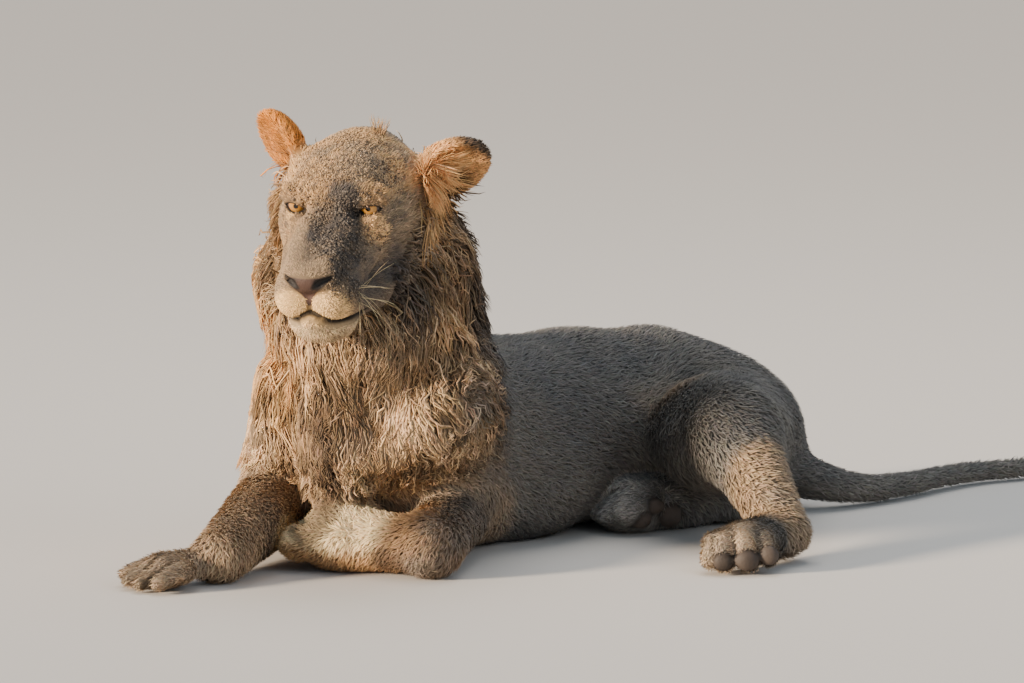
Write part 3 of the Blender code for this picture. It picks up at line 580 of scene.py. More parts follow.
def coat_colour(points, parts):
    """The markings: washes of colour laid over one another, each by its own share at each point."""
    q = in_head(points)
    s = mirrored(q)
    big, mid, fine = clouds(points, 0.090, 11), clouds(points, 0.030, 12), clouds(points, 0.010, 13)
    colour = np.broadcast_to(MUD, points.shape)

    def wash(tint, share):
        nonlocal colour
        colour = colour + (tint - colour) * np.clip(share, 0, 1)[:, None]

    # The body: patches of pale and dark mud. The left flank and the hide behind the mane are greyer and
    # cooler: partly the grey of the mud, partly painted cool shade.
    wash(PALE_MUD, 0.5 + 0.25 * big + 0.35 * mid + 0.15 * fine)
    # Partly grey mud, partly painted cool shade: a slate patch on the left flank, and less red and green in
    # the hide behind the mane.
    wash(SLATE, around(points, (0.130, -0.150, 0.170), 0.05, 0.24) * (0.25 + 0.5 * mid))
    behind = near(-0.34 - points[:, 1], 0.10)[:, None]
    colour = colour * (1 - behind * (0.21, 0.12, 0.0))
    # The legs: tawny, with pale feet and a cream side to the tucked forepaw, painted light on the right
    # foreleg and on parts of the left legs, and painted shade in the gaps between the toes.
    legs = {name: near(parts[name] - 0.001, 0.012) for name in LEGS}
    on_left, on_right, on_out, on_under = (legs[name] for name in LEGS)
    left, right = FORE["left"], FORE["right"]
    wash(TAWNY, on_left * (0.40 + 0.4 * mid + 0.3 * big))
    # Painted light: the right foreleg is made lighter than the left, as if more brightly lit.
    wash(TAWNY * 1.4, on_right * (0.90 + 0.3 * mid + 0.2 * big))
    wash(MUD, taper_share(points, right["elbow"], right["wrist"], 0.05) * (0.15 + 0.5 * mid))
    wash(PALE_MUD * 1.4, around(points, right["toes"], 0.06, 0.14) * on_right * (0.6 + 0.5 * mid))
    # Painted light: a lit spot on the front of the left thigh.
    wash(TAWNY * 1.2, around(points, (0.150, -0.020, 0.225), 0.020, 0.075) * (0.6 + 0.4 * mid))
    # Painted light: the lower part of the left shank is lighter, as if sunlit below the shade on the thigh.
    shank = taper_share(points, (0.450, -0.080, 0.060), (0.400, -0.060, 0.115), 0.045) * on_out
    wash(TAWNY, shank * (0.75 + 0.6 * mid))
    wash(srgb(200, 154, 104), taper_share(points, left["wrist"], left["toes"], 0.06) * on_left * 0.8)
    # Partly the paw's pale fur, partly painted light: the top and the left end of the tucked forepaw are cream
    # and bright where the right forearm shades them.
    tucked_pale_and_lit_top = taper_share(points, (-0.060, -0.650, 0.075), (0.110, -0.615, 0.088), 0.042) * on_left
    wash(CREAM * 1.05, tucked_pale_and_lit_top * near(0.058 + 0.008 * mid - points[:, 2], 0.030) * 1.5)
    wash(CREAM, around(points, (-0.045, -0.650, 0.060), 0.040, 0.080) * on_left * (0.9 + 0.3 * mid))
    wash(UMBER * 0.75, around(points, (0.195, -0.575, 0.035), 0.050, 0.085) * on_left * (0.8 + 0.4 * mid))
    # Partly greyer fur, partly painted light lifting the shadow at the left elbow.
    elbow = taper_share(points, (0.240, -0.540, 0.030), (0.190, -0.450, 0.060), 0.052) * on_left
    wash(srgb(136, 122, 108), elbow * (0.7 + 0.5 * mid))
    out_paw = around(points, HIND["left"]["toes"], 0.03, 0.10) * on_out
    wash(srgb(208, 182, 150), out_paw * (0.75 + 0.5 * mid))
    under_paw = around(points, HIND["right"]["toes"], 0.08, 0.14) * on_under
    wash(srgb(196, 188, 178), under_paw * (0.8 + 0.5 * mid))
    # Painted shade in the gaps between the toes.
    wash(DARK, toe_gap_shade(points, left["wrist"], left["toes"], *left["foot"]) * on_left * 0.35)
    wash(DARK, toe_gap_shade(points, right["wrist"], right["toes"], *right["foot"]) * on_right * 0.95)
    wash(DARK, turned_gap_shade(points) * on_out * 0.9)
    # The mane: tawny and gold locks, darker in random patches and where they part, with painted shade under
    # the chest between the forelegs and a painted shadow on the left shoulder beside the mane.
    off_leg = 1 - on_left
    mane = near(parts["neck"], 0.03) * near(points[:, 1] + 0.41, 0.05)
    wash(TAWNY, mane * 0.9)
    wash(GOLD * 0.90, mane * (0.30 + 0.5 * mid + 0.2 * big))
    wash(UMBER * 0.7, mane * (0.12 + 0.9 * mid - 0.2 * big))
    low_right = near(points[:, 0] + points[:, 1] + 0.66, 0.10) * near(0.30 - points[:, 2], 0.10)
    wash(GOLD * 1.3, mane * low_right * (0.7 + 0.4 * mid))
    # Painted shade under the chest, between the forelegs.
    hollow = around(points, (0.030, -0.545, 0.085), 0.035, 0.075) * near(parts["trunk"] - 0.002, 0.006)
    wash(DARK, hollow * off_leg * 0.8)
    # Painted shadow on the left shoulder, just behind the mane.
    shoulder = near(np.abs(points[:, 1] + 0.385) - 0.020, 0.050) * near(0.09 - points[:, 0], 0.05)
    wash(SLATE * 0.8, shoulder * off_leg * (0.75 + 0.3 * mid))
    parting = taper_share(points, (0.075, -0.640, 0.300), (0.050, -0.640, 0.080), 0.030)
    wash(UMBER * 0.6, parting * 0.8)
    # Partly grey mud, partly painted shade under the left cheek.
    under_cheek_mud_and_shade = around(points, from_head((0.115, -0.030, -0.120)), 0.040, 0.085)
    wash(SLATE * 0.75, under_cheek_mud_and_shade * (0.7 + 0.4 * mid))
    # The face: gold under a film of pale mud.
    head_share = near(parts["head"] - 0.004, 0.020) * near(-0.120 - q[:, 1], 0.060)
    wash(GOLD * 0.92, head_share * 0.95)
    film = np.clip(0.30 + 0.9 * mid + 0.6 * fine, 0, 1) * near(0.02 - q[:, 2], 0.03)
    wash(PALE_MUD, head_share * film * 0.7)
    lower_face = near(0.10 * np.abs(q[:, 0]) - q[:, 1] - 0.10, 0.05) * near(q[:, 2] + 0.01, 0.03)
    wash(PALE_MUD * 0.8, head_share * lower_face * 0.7)
    # Dried mud: dark down the bridge and over the left side of the muzzle, thinner on the cheeks. Painted
    # shade darkens the left side of the muzzle and the left cheek as well.
    bridge = taper_share(q, (0.012, 0.012, 0.014), (0.006, 0.095, -0.050), 0.022)
    wash(SLATE, bridge * (0.75 + 0.5 * mid + 0.4 * fine))
    # Partly dried mud, partly painted shade on the left side of the muzzle.
    muzzle_mud_and_shade = taper_share(q, (0.036, 0.050, -0.020), (0.044, 0.112, -0.066), 0.022)
    wash(SLATE * 0.75, muzzle_mud_and_shade * (0.65 + 0.9 * fine))
    wash(SLATE * 0.72, taper_share(q, (0.036, 0.024, 0.004), (0.034, 0.022, 0.020), 0.008) * 0.9)
    wash(SLATE * 0.90, around(s, (0.036, 0.024, -0.020), 0.010, 0.028) * (0.55 + 0.4 * mid))
    beside_nose = taper_share(q, (0.058, 0.080, -0.090), (0.076, 0.010, -0.080), 0.026)
    wash(SLATE, beside_nose * (0.55 + 0.5 * mid + 0.3 * fine))
    # Partly mud, partly painted shade on the left cheek.
    wash(SLATE * 0.9, around(q, (0.090, -0.034, -0.080), 0.020, 0.060) * (0.30 + 0.5 * mid))
    lip_corner = taper_share(q, (0.072, 0.048, -0.130), (0.078, -0.010, -0.120), 0.030)
    wash(SLATE * 0.75, lip_corner * (0.75 + 0.4 * mid))
    wash(GOLD * 1.6, around(q, (0.066, 0.021, -0.028), 0.014, 0.030) * (0.95 + 0.6 * fine))
    # Painted shade under the brow, above each eye.
    wash(UMBER * 0.9, around(s, (0.060, 0.010, 0.016), 0.008, 0.022) * 0.45)
    wash(GOLD * 0.75, around(q, (-0.060, 0.015, -0.050), 0.030, 0.065) * (0.45 + 0.4 * mid + 0.3 * fine))
    # Cream lips and chin, and a pale patch under each eye.
    lips = around(s * (1.0, 0.7, 1.0), (0.026, 0.092, -0.118), 0.024, 0.036)
    wash(srgb(255, 208, 140) * 1.15, lips * (1.0 - 0.35 * near(0.034 - q[:, 0], 0.02) + 0.1 * fine))
    chin = around(q * (0.8, 0.8, 1.0), (0, 0.070, -0.160), 0.030, 0.050)
    wash(srgb(228, 196, 150), chin)
    wash(UMBER, chin * near(q[:, 2] + 0.162, 0.012) * (0.5 + 0.4 * fine))
    wash(srgb(236, 190, 130), around(s, (0.062, 0.014, -0.017), 0.005, 0.012) * (0.7 - 0.4 * (q[:, 0] > 0)))
    # The ears: gold; the left one has a dark rim above. Painted shade darkens the hollow of each, most of all
    # low inside the left one.
    for side, gold, low in (("left", 0.60 * EAR_GOLD + 0.80 * GOLD, 0.45), ("right", srgb(212, 132, 46), 0.0)):
        across, along, out = np.moveaxis(ear_frame(q, side), -1, 0)
        beyond = np.maximum(np.maximum(0.25 - along, along - 1.3), np.abs(across) - 1.2)
        on = near(beyond, 0.2) * near(parts["head"], 0.01)
        wash(gold, on * (0.9 + 0.2 * mid))
        wash(EAR_RIM, on * near(1.02 - along - 0.25 * across, 0.26) * 2.1 * low)
        # Painted shade in the hollow of each ear.
        hollow = near(np.hypot(across + low, (along - 0.34) * 1.6) - 0.30, 0.35) * near(-out, 0.2)
        wash(DARK, on * hollow * (0.5 + low))
    # Bare skin: the nose, the rims of the lids, the line of the mouth, the pads. Painted shade darkens the
    # nostrils and the crease round each pad.
    leather = leather_share(q)
    wash(LEATHER, leather)
    wash(DARK, leather * near(0.016 - np.abs(q[:, 0]), 0.010) * 0.6)
    # Painted shade inside the nostrils.
    wash(DARK, near(nostril(s) - 0.0004, 0.0022))
    at_eye = near(np.linalg.norm(s - (0.056, 0.010, 0), axis=-1) - 0.024, 0.008)
    wash(DARK, near(np.abs(lid_opening(s)) - 0.0006, 0.0028) * at_eye)
    wash(DARK, near(lid_opening(s), 0.001) * at_eye)
    wash(DARK, near(tear_line(s), 0.004) * 0.9)
    wash(DARK, near(mouth_line(q) - 0.0018, 0.0030) * 0.95)
    wash(DARK, near(lip_split(q) - 0.0008, 0.0028) * 0.95)
    wash(PAD_GREY * (1.0 + 0.5 * legs["hind_right"][:, None]), pad_share(points))
    # Painted shade in the crease round each pad.
    edges = [egg(points, place, np.array(radii) + 0.002, PAD_AXES) for place, radii in PADS]
    wash(DARK, near(np.min(np.abs(edges), axis=0) - 0.0006, 0.0020) * 0.7)
    return colour


def turned_gap_shade(points):
    """1 along the creases between the turned foot's toes, which painted shade darkens: where two of them are
    equally far away.
    """
    toes = [taper(points, knuckle, tip, radius, radius) for knuckle, tip, radius in TOES_TURNED]
    first, second = np.sort(toes, axis=0)[:2]
    return near(second - first - 0.0006, 0.0030) * near(first - 0.004, 0.006)


def toe_gap_shade(points, heel, toes, wide, high):
    """1 in the three gaps between the toes of a forepaw, which painted shade darkens."""
    forward = unit(np.array(toes) - heel)
    across = unit(np.cross(forward, (0, 0, 1.0)))
    ahead = (points - heel) @ forward / np.linalg.norm(np.array(toes) - heel)
    place = (points - heel) @ across / (wide * 0.34)
    gap = np.min([np.abs(place - middle) for middle in (-0.68, 0.0, 0.68)], axis=0)
    on_paw = near(np.abs(place) - 1.2, 0.2) * near(points[:, 2] - high * 1.4, 0.01)
    return near(gap - 0.05, 0.16) * near(0.62 - ahead, 0.12) * on_paw


def taper_share(points, start, end, radius):
    """1 inside a limb-like stretch, falling to 0 over six tenths of its radius."""
    return near(taper(points, start, end, radius, radius), radius * 0.6)


def unwrapped(obj):
    """Lays the mesh's own shape out flat in a UV map, island beside island."""
    bpy.context.view_layer.objects.active = obj
    obj.select_set(True)
    bpy.ops.object.mode_set(mode="EDIT")
    bpy.ops.mesh.select_all(action="SELECT")
    bpy.ops.uv.smart_project(angle_limit=math.radians(66), island_margin=0.002)
    bpy.ops.object.mode_set(mode="OBJECT")
    obj.select_set(False)


class Wire:
    """A socket of a shader that can be reckoned with: + - * on it add Math nodes."""

    def __init__(self, maker, socket):
        self.maker, self.socket = maker, socket

    def _reckon(self, operation, a, b):
        return self.maker.node("ShaderNodeMath", {"operation": operation}, {0: a, 1: b})

    def __add__(self, other):
        return self._reckon("ADD", self, other)

    def __radd__(self, other):
        return self._reckon("ADD", other, self)

    def __sub__(self, other):
        return self._reckon("SUBTRACT", self, other)

    def __rsub__(self, other):
        return self._reckon("SUBTRACT", other, self)

    def __mul__(self, other):
        return self._reckon("MULTIPLY", self, other)

    def __rmul__(self, other):
        return self._reckon("MULTIPLY", other, self)


class Finish:
    """A material in the making: its nodes, and the shader they feed."""

    def __init__(self, name, **fixed):
        self.material = bpy.data.materials.new(name)
        self.material.use_nodes = True
        self.tree = self.material.node_tree
        self.shader = self.tree.nodes["Principled BSDF"]
        for socket, value in fixed.items():
            self.shader.inputs[socket.replace("_", " ")].default_value = value

    def node(self, kind, settings=None, feeds=None, output=0):
        """Adds a node, makes its settings, feeds its sockets with values or wires, and gives one output."""
        made = self.tree.nodes.new(kind)
        for key, value in (settings or {}).items():
            setattr(made, key, value)
        for key, value in (feeds or {}).items():
            if isinstance(value, Wire):
                self.tree.links.new(value.socket, made.inputs[key])
            else:
                made.inputs[key].default_value = value
        return Wire(self, made.outputs[output])

    def feed(self, socket, wire):
        """Links a wire to one of the shader's own sockets."""
        self.tree.links.new(wire.socket, self.shader.inputs[socket])

    def noise(self, scale, detail):
        """Noise on the piece's own coordinates, with `scale` swells to a metre."""
        place = self.node("ShaderNodeTexCoord", output="Object")
        return self.node("ShaderNodeTexNoise", feeds={"Vector": place, "Scale": scale, "Detail": detail})

    def bump(self, height, strength, distance):
        """Fine relief, `distance` high where `height` is 1."""
        feeds = {"Height": height, "Strength": strength, "Distance": distance}
        self.feed("Normal", self.node("ShaderNodeBump", feeds=feeds))


def mixed(finish, share, a, b):
    """One colour turning into another by a share from 0 to 1."""
    return finish.node("ShaderNodeMix", {"data_type": "RGBA"}, {0: share, 6: a, 7: b}, output=2)


# Faces are 8 mm wide, and half that on the head, the ears and the feet. They are halved again on
# the muzzle and round the eyes, and once more on the lids and the nose.
GRID_STEP = 0.008
FINE = [(from_head((0, 0.02, -0.03)), 0.150)]
FINE += [(leg["toes"], 0.085) for leg in LEGS.values()]
FINE += [(from_head(between(leaf["root"], leaf["tip"], 0.6)), 0.07) for leaf in EARS.values()]
FINER = [(from_head((0, 0.08, -0.07)), 0.095)]
FINER += [(from_head((side * 0.05, 0.0, 0.0)), 0.05) for side in (-1, 1)]
FINEST = [(from_head((0, 0.145, -0.075)), 0.030)]
FINEST += [(from_head((side * 0.056, 0.010, 0.0)), 0.030) for side in (-1, 1)]


def within(points, faces, spots):
    """Which faces have their middle within a spot's radius."""
    middle = points[faces].mean(axis=1)
    return np.any([np.linalg.norm(middle - np.asarray(at), axis=1) < radius for at, radius in spots], axis=0)


points, small = netted(hide, (-0.30, -1.00, -0.016), (0.62, 1.13, 0.72), GRID_STEP)
points = settle(points, hide, 2)
kept = []
for spots in (FINE, FINER, FINEST):
    points, small, others = split(points, small, within(points, small, spots))
    kept.append(others)
rows = np.concatenate([*kept, np.pad(small, ((0, 0), (0, 4)), constant_values=-1)])
points = settle(points, hide, 3)
skin = mesh_object("skin", points, rows)
unwrapped(skin)
skin_parts = body_parts(points)
skin_colour = coat_colour(points, skin_parts)
bare = np.maximum(leather_share(in_head(points)), pad_share(points))[:, None]
give(skin, "fur", np.concatenate([skin_colour * (0.62 + 0.38 * bare), bare], axis=1))

hide_finish = Finish("hide", Specular_IOR_Level=0.3)
tint = hide_finish.node("ShaderNodeAttribute", {"attribute_name": "fur"})
leather = hide_finish.node("ShaderNodeAttribute", {"attribute_name": "fur"}, output=3)
specks = hide_finish.noise(260.0, 4.0)
grime = (0.03, 0.025, 0.02, 1)
hide_finish.feed("Base Color", mixed(hide_finish, specks * (0.5 - 0.25 * leather), tint, grime))
hide_finish.feed("Roughness", 0.88 - 0.28 * leather)
hide_finish.bump(hide_finish.noise(420.0, 4.0) + 0.6 * hide_finish.noise(900.0, 2.0) * leather, 0.5, 0.0015)
skin.data.materials.append(hide_finish.material)
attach(skin, "root")
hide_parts(*[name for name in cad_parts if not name.startswith("eye_")])

# ------------------------------------------------------------------ the eyes
# Two moist balls in their sockets. The front of each swells out a little, as a real eye's clear
# cover does; the round pupil and the spokes of the amber iris are colours on it.


def eyeball(side, rings=40, count=64):
    """A ball turned about its line of sight, whose front swells out by a cosine hump."""
    turns = np.linspace(0, 2 * math.pi, count, endpoint=False)
    angle, turn = np.meshgrid(np.linspace(0, math.pi, rings), turns, indexing="ij")
    radius = EYE["radius"] + 0.0016 * np.clip(np.cos(angle * 1.9), 0, 1) * (angle < 0.83)
    wide = radius * np.sin(angle)
    local = np.stack([wide * np.cos(turn), radius * np.cos(angle), wide * np.sin(turn)], axis=-1)
    sight = unit(np.array((side * 0.02 + 0.06, 1.0, -0.03)))
    across = unit(np.cross(sight, (0, 0, 1.0)))
    axes = np.stack([across, sight, np.cross(across, sight)], axis=1)
    centre = np.array((side * EYE["half_spacing"], EYE["forward"], 0.0))
    return angle, turn, from_head(centre + local @ axes.T)


def ring_faces(rings, count):
    """Four-sided faces between rings of `count` points, closed round each ring."""
    ring, place = np.meshgrid(np.arange(rings - 1), np.arange(count), indexing="ij")
    here, after = ring * count + place, ring * count + (place + 1) % count
    return np.stack([here, after, after + count, here + count], axis=-1).reshape(-1, 4)


eye_finish = Finish("eye", Roughness=0.06, Specular_IOR_Level=0.6)
eye_finish.feed("Base Color", eye_finish.node("ShaderNodeAttribute", {"attribute_name": "iris"}))
for name, side in (("left", 1), ("right", -1)):
    angle, turn, places = eyeball(side)
    eye = mesh_object("eye_" + name + "_looks", places.reshape(-1, 3), ring_faces(*angle.shape)[:, ::-1])
    spokes = 0.5 + 0.5 * np.sin(turn * 23 + 3 * np.sin(turn * 5)) * np.cos(turn * 9 + 1.0)
    amber = srgb(198, 140, 62) + (srgb(128, 84, 36) - srgb(198, 140, 62)) * (0.55 * spokes)[..., None]
    shade = np.where((angle < 0.17)[..., None], srgb(8, 6, 6), amber)
    shade = np.where((angle > 0.66)[..., None], srgb(96, 62, 34), shade)
    shade = np.where((angle > 0.76)[..., None], srgb(60, 46, 40), shade)
    give(eye, "iris", np.concatenate([shade.reshape(-1, 3), np.ones((shade.size // 3, 1))], axis=1))
    eye.data.materials.append(eye_finish.material)
    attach(eye, "root")
    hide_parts("eye_" + name)

# ------------------------------------------------------------------ the short coat
# Flat, muddy hair a thumb's width long over back, flanks, legs and feet. Each tuft is a thin
# blade rooted in the skin; it lies back along the body, over the roots of the next.

skin.data.calc_loop_triangles()
corner_count = len(skin.data.loop_triangles)
corners, loops = np.empty(corner_count * 3, np.int32), np.empty(corner_count * 3, np.int32)
skin.data.loop_triangles.foreach_get("vertices", corners)
skin.data.loop_triangles.foreach_get("loops", loops)
corners, loops = corners.reshape(-1, 3), loops.reshape(-1, 3)
flat = np.empty(len(skin.data.loops) * 2, np.float32)
skin.data.uv_layers.active.data.foreach_get("uv", flat)
flat = flat.reshape(-1, 2)
skin_normals = np.empty(len(points) * 3, np.float32)
skin.data.vertices.foreach_get("normal", skin_normals)
skin_normals = skin_normals.reshape(-1, 3).astype(float)
middles = points[corners].mean(axis=1)
areas = np.linalg.norm(np.cross(points[corners[:, 1]] - points[corners[:, 0]],
                                points[corners[:, 2]] - points[corners[:, 0]]), axis=1) / 2
patch_parts = {name: distance[corners].mean(axis=1) for name, distance in skin_parts.items()}
nearest = np.array(list(patch_parts))[np.argmin(np.stack(list(patch_parts.values())), axis=0)]


def roots(density, seed):
    """Random places on the skin, so many to a square metre, each with its normal, colour and flat place."""
    rng = np.random.default_rng(seed)
    wanted = areas * density
    count = (np.floor(wanted) + (rng.random(len(wanted)) < wanted % 1)).astype(int)
    patch = np.repeat(np.arange(len(wanted)), count)
    share = rng.dirichlet((1, 1, 1), len(patch))
    ends = corners[patch]
    place = (points[ends] * share[..., None]).sum(axis=1)
    found = dict(place=place, normal=unit((skin_normals[ends] * share[..., None]).sum(axis=1)),
                 colour=(skin_colour[ends] * share[..., None]).sum(axis=1),
                 flat=(flat[loops[patch]] * share[..., None]).sum(axis=1), rng=rng,
                 parts={name: (distance[ends] * share).sum(axis=1) for name, distance in skin_parts.items()})
    return found


def run_along(points, line):
    """The way that a limb runs at each point: its segments' ways, weighted by how near each segment is."""
    total = 0
    for start, end in zip(line[:-1], line[1:]):
        weight = np.exp(-taper(points, start, end, 0, 0) / 0.018)[:, None]
        total = total + weight * unit(np.array(end) - np.array(start))
    return unit(total)


NOSE_TIP = (0, 0.155, -0.085)                   # in the head's frame: the hair runs back from it


def lie(points, parts):
    """The way the hair lies: each part's own way, weighted by how near that part is."""
    q = in_head(points)
    from_nose = unit(q - NOSE_TIP) + (0, -0.5, 0)
    for side in EARS.values():
        on_ear = around(q, between(side["root"], side["tip"], 0.65), 0.045, 0.070)[:, None]
        from_nose = from_nose + (unit(np.array(side["tip"]) - side["root"]) * 1.6 - from_nose) * on_ear
    behind = unit(points - from_head((0, 0.06, 0.02)))
    on_paw = np.max([around(points, leg["toes"], 0.07, 0.13) for leg in LEGS.values()], axis=0)[:, None]
    ways = {"trunk": np.broadcast_to((0.0, 0.94, -0.34), points.shape),
            "neck": unit(behind * (0.7, 0.6, 0.5) + (0, 0.10, -0.80)),
            "head": unit(from_nose) @ HEAD_AXES.T,
            "tail": run_along(points, TAIL_LINE), "tuft": run_along(points, (TAIL_LINE[-1], *TUFT_LINE))}
    for side in ("left", "right"):
        out = 0.55 if side == "left" else -0.20
        run = run_along(points, [FORE[side][joint] for joint in ("shoulder", "elbow", "wrist", "toes")])
        ways["fore_" + side] = unit(run + (1 - on_paw) * (0.15, 0.50, -0.45))
        run = run_along(points, [HIND[side][joint] for joint in ("hip", "knee", "hock", "toes")])
        ways["hind_" + side] = unit(run * (0.35 + 0.65 * on_paw) + (1 - on_paw) * (out, 0.75, -0.45))
    total = sum(np.exp(-np.clip(parts[name], -0.05, 1) / 0.012)[:, None] * way for name, way in ways.items())
    swirl = np.stack([clouds(points, 0.045, seed) for seed in (21, 22, 23)], axis=1)
    return unit(total) + swirl * 0.35


def level(ways, normals):
    """Ways laid flat on the skin."""
    return unit(ways - (ways * normals).sum(-1, keepdims=True) * normals)


ROOT_DEPTH = 0.0012                             # how far a tuft is sunk in the skin


def blades(name, found, length, width, rise, finish, stray=0.25, bright=0.22):
    """Thin roof-shaped tufts from root to tip.

    At s from 0 at the root to 1 at the tip, the spine is root + way * length * s
    + normal * rise * s * (2 - s) + side * bend * s * s, and the half width narrows as 1 - s * s * s.
    """
    rng, place, normal = found["rng"], found["place"], found["normal"]
    count = len(place)
    way = level(lie(place, found["parts"]) + rng.normal(0, stray, place.shape), normal)
    side = np.cross(way, normal)
    length = np.reshape(length, (-1, 1)) * rng.uniform(0.7, 1.25, (count, 1))
    width = np.reshape(width, (-1, 1)) * rng.uniform(0.7, 1.3, (count, 1))
    rise = np.reshape(rise, (-1, 1)) * rng.uniform(0.4, 1.3, (count, 1))
    bend = rng.normal(0, 0.12, (count, 1)) * length
    rows, flats, shades = [], [], []
    tone = np.exp(rng.normal(0, bright, (count, 1))) * (1 + rng.normal(0, 0.03, (count, 3)))
    for s in (0.0, 0.5, 1.0):
        height = rise * s * (2 - s) - ROOT_DEPTH * (1 - s)
        spine = place + way * length * s + normal * height + side * bend * s * s
        half = width * 0.5 * (1 - s ** 3)
        across = (-1, 0, 1) if s < 1 else (0,)
        for edge in across:
            rows.append(spine + side * half * edge + normal * half * (0.45 if edge == 0 and s < 1 else 0.0))
            flats.append(found["flat"] + 0.0026 * np.array((0.5 * edge * (1 - s), s - 0.5)))
            shades.append(found["colour"] * tone * (0.74 + 0.42 * s))
    faces = [(0, 1, 4, 3), (1, 2, 5, 4), (3, 4, 6, -1), (4, 5, 6, -1)]
    return hair_object(name, rows, flats, shades, faces, finish)


def hair_object(name, rows, flats, shades, faces, finish):
    """One mesh of many alike pieces of hair: the k-th point of every piece is in rows[k]."""
    count, each = len(rows[0]), len(rows)
    places = np.stack(rows, axis=1).reshape(-1, 3)
    places[:, 2] = np.maximum(places[:, 2], FLOOR_GAP)
    faces = np.array(faces)
    start = (np.arange(count) * each)[:, None, None]
    faces = np.where(faces[None] >= 0, faces[None] + start, -1).reshape(-1, faces.shape[1])
    obj = mesh_object(name, places, faces)
    colour = np.stack(shades, axis=1).reshape(-1, 3)
    colour = colour / np.maximum(colour.max(axis=1, keepdims=True), 1)
    give(obj, "fur", np.concatenate([colour, np.ones((len(colour), 1))], axis=1))
    layer = obj.data.uv_layers.new(name="OFBake")
    flats = np.stack(flats, axis=1).reshape(-1, 2)
    layer.data.foreach_set("uv", np.ascontiguousarray(flats[faces[faces >= 0]], np.float32).ravel())
    obj.data.materials.append(finish)
    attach(obj, "root")
    return obj


def hair_finish(name, rough=0.72):
    """Hair: the markings of its root, broken by fine grit of dried mud, with a soft gloss."""
    finish = Finish(name, Roughness=rough, Specular_IOR_Level=0.25)
    tint = finish.node("ShaderNodeAttribute", {"attribute_name": "fur"})
    grit = finish.node("ShaderNodeMapRange", feeds={"Value": finish.noise(150.0, 4.0), "From Min": 0.50,
                                                     "From Max": 0.72})
    finish.feed("Base Color", mixed(finish, grit * 0.45, tint, (*srgb(92, 82, 74), 1)))
    return finish.material


coat_finish = hair_finish("short coat")
bare_pads = pad_share(middles) > 0.8
on_floor = middles[:, 2] < 0.004
at_chest = (nearest == "trunk") & (middles[:, 1] < -0.41)
at_neck = (nearest == "neck") & ((middles[:, 2] > 0.28) | (middles[:, 1] < -0.41))
chest_zone = (at_chest | at_neck) & (middles[:, 2] > 0.13) & (middles[:, 2] < 0.548)
shoulder_zone = (np.isin(nearest, ["trunk", "fore_left", "fore_right"]) & (middles[:, 1] < -0.365)
                 & (middles[:, 2] > 0.15) & (np.abs(middles[:, 0] - 0.02) > 0.08))
under_mane = chest_zone & ((middles[:, 1] < -0.47) | (middles[:, 2] > 0.34)) & (middles[:, 2] > 0.15)


def coat_roots(kinds, density, seed, extra):
    """Roots of short hair on some parts of the body, clear of the pads, the floor and the mane."""
    chosen = np.isin(nearest, kinds) & extra & ~bare_pads & ~on_floor & ~under_mane
    return roots(np.where(chosen, density, 0), seed)


for name, kinds, extra, density, seed in (
        ("coat_trunk_left", ["trunk", "neck"], middles[:, 0] >= 0.02, 92000, 31),
        ("coat_trunk_right", ["trunk", "neck"], middles[:, 0] < 0.02, 72000, 32),
        ("coat_foreleg_left", ["fore_left"], True, 105000, 33),
        ("coat_foreleg_right", ["fore_right"], True, 100000, 36),
        ("coat_hindlegs", ["hind_left", "hind_right"], True, 78000, 34),
        ("coat_tail", ["tail"], True, 90000, 35)):
    found = coat_roots(kinds, density * (1 + 0.7 * paw_near(middles, patch_parts)), seed, extra)
    fine = 1 - 0.30 * paw_near(found["place"], found["parts"])
    base, rise = (0.017 if "trunk" in kinds else 0.015), (0.0034 if "tail" in kinds else 0.0054)
    coat = blades(name, found, base * fine, 0.0021 * fine, rise * fine, coat_finish, stray=0.30, bright=0.17)

# ------------------------------------------------------------------ the face
# Velvet hair on bridge and lips, longer on brow, cheeks and chin. It runs back from the nose,
# parts round the eyes and thickens toward the mane.

face_finish = hair_finish("face hair", 0.78)
middle_q = in_head(middles)
head_s = mirrored(middle_q)
on_head = nearest == "head"
bare_face = ((leather_share(middle_q) > 0.4) | (lid_opening(head_s) < 0.0012) | (nostril(head_s) < 0.001)
             | (mouth_line(middle_q) < 0.0060) | (lip_split(middle_q) < 0.0016))
on_ear = np.zeros(len(middles), bool)
for side in EARS:
    across, along, out = np.moveaxis(ear_frame(middle_q, side), -1, 0)
    on_ear |= (along > 0.30) & (along < 1.4) & (np.abs(across) < 1.3) & (np.abs(out) < 1.6)
front_share = near(-0.020 - middle_q[:, 1], 0.080)
found = roots(np.where(on_head & ~bare_face & ~on_ear, 86000 + 155000 * front_share, 0), 41)
flecks = clouds(found["place"], 0.0050, 44) + 0.6 * clouds(found["place"], 0.012, 45)
flecks = np.clip(2.5 * (flecks - 0.20), 0, 1)
muddy = around(in_head(found["place"]), (0.005, 0.010, 0.010), 0.080, 0.150)
found["colour"] = found["colour"] + (SLATE * 0.75 - found["colour"]) * (0.72 * flecks * muddy)[:, None]
s = mirrored(in_head(found["place"]))
short = around(s, (0.0, 0.110, -0.075), 0.060, 0.130)
tiny = around(s, (0.058, 0.016, -0.002), 0.014, 0.040)
back_share = near(s[:, 1] + 0.070, 0.080)
chin = around(s, (0, 0.08, -0.160), 0.030, 0.050)
crown = near(0.02 - s[:, 2], 0.03)
length = (0.010 - 0.0045 * short + 0.005 * back_share * (1 - 0.8 * crown)) * (1 - 0.5 * tiny) + 0.010 * chin
rise = (0.16 - 0.10 * short) * length + 0.0005 + 0.002 * back_share * (1 - crown)
face = blades("coat_face", found, length, 0.0016 + 0.0008 * back_share, rise, face_finish, stray=0.30,
              bright=0.22 - 0.16 * short[:, None])


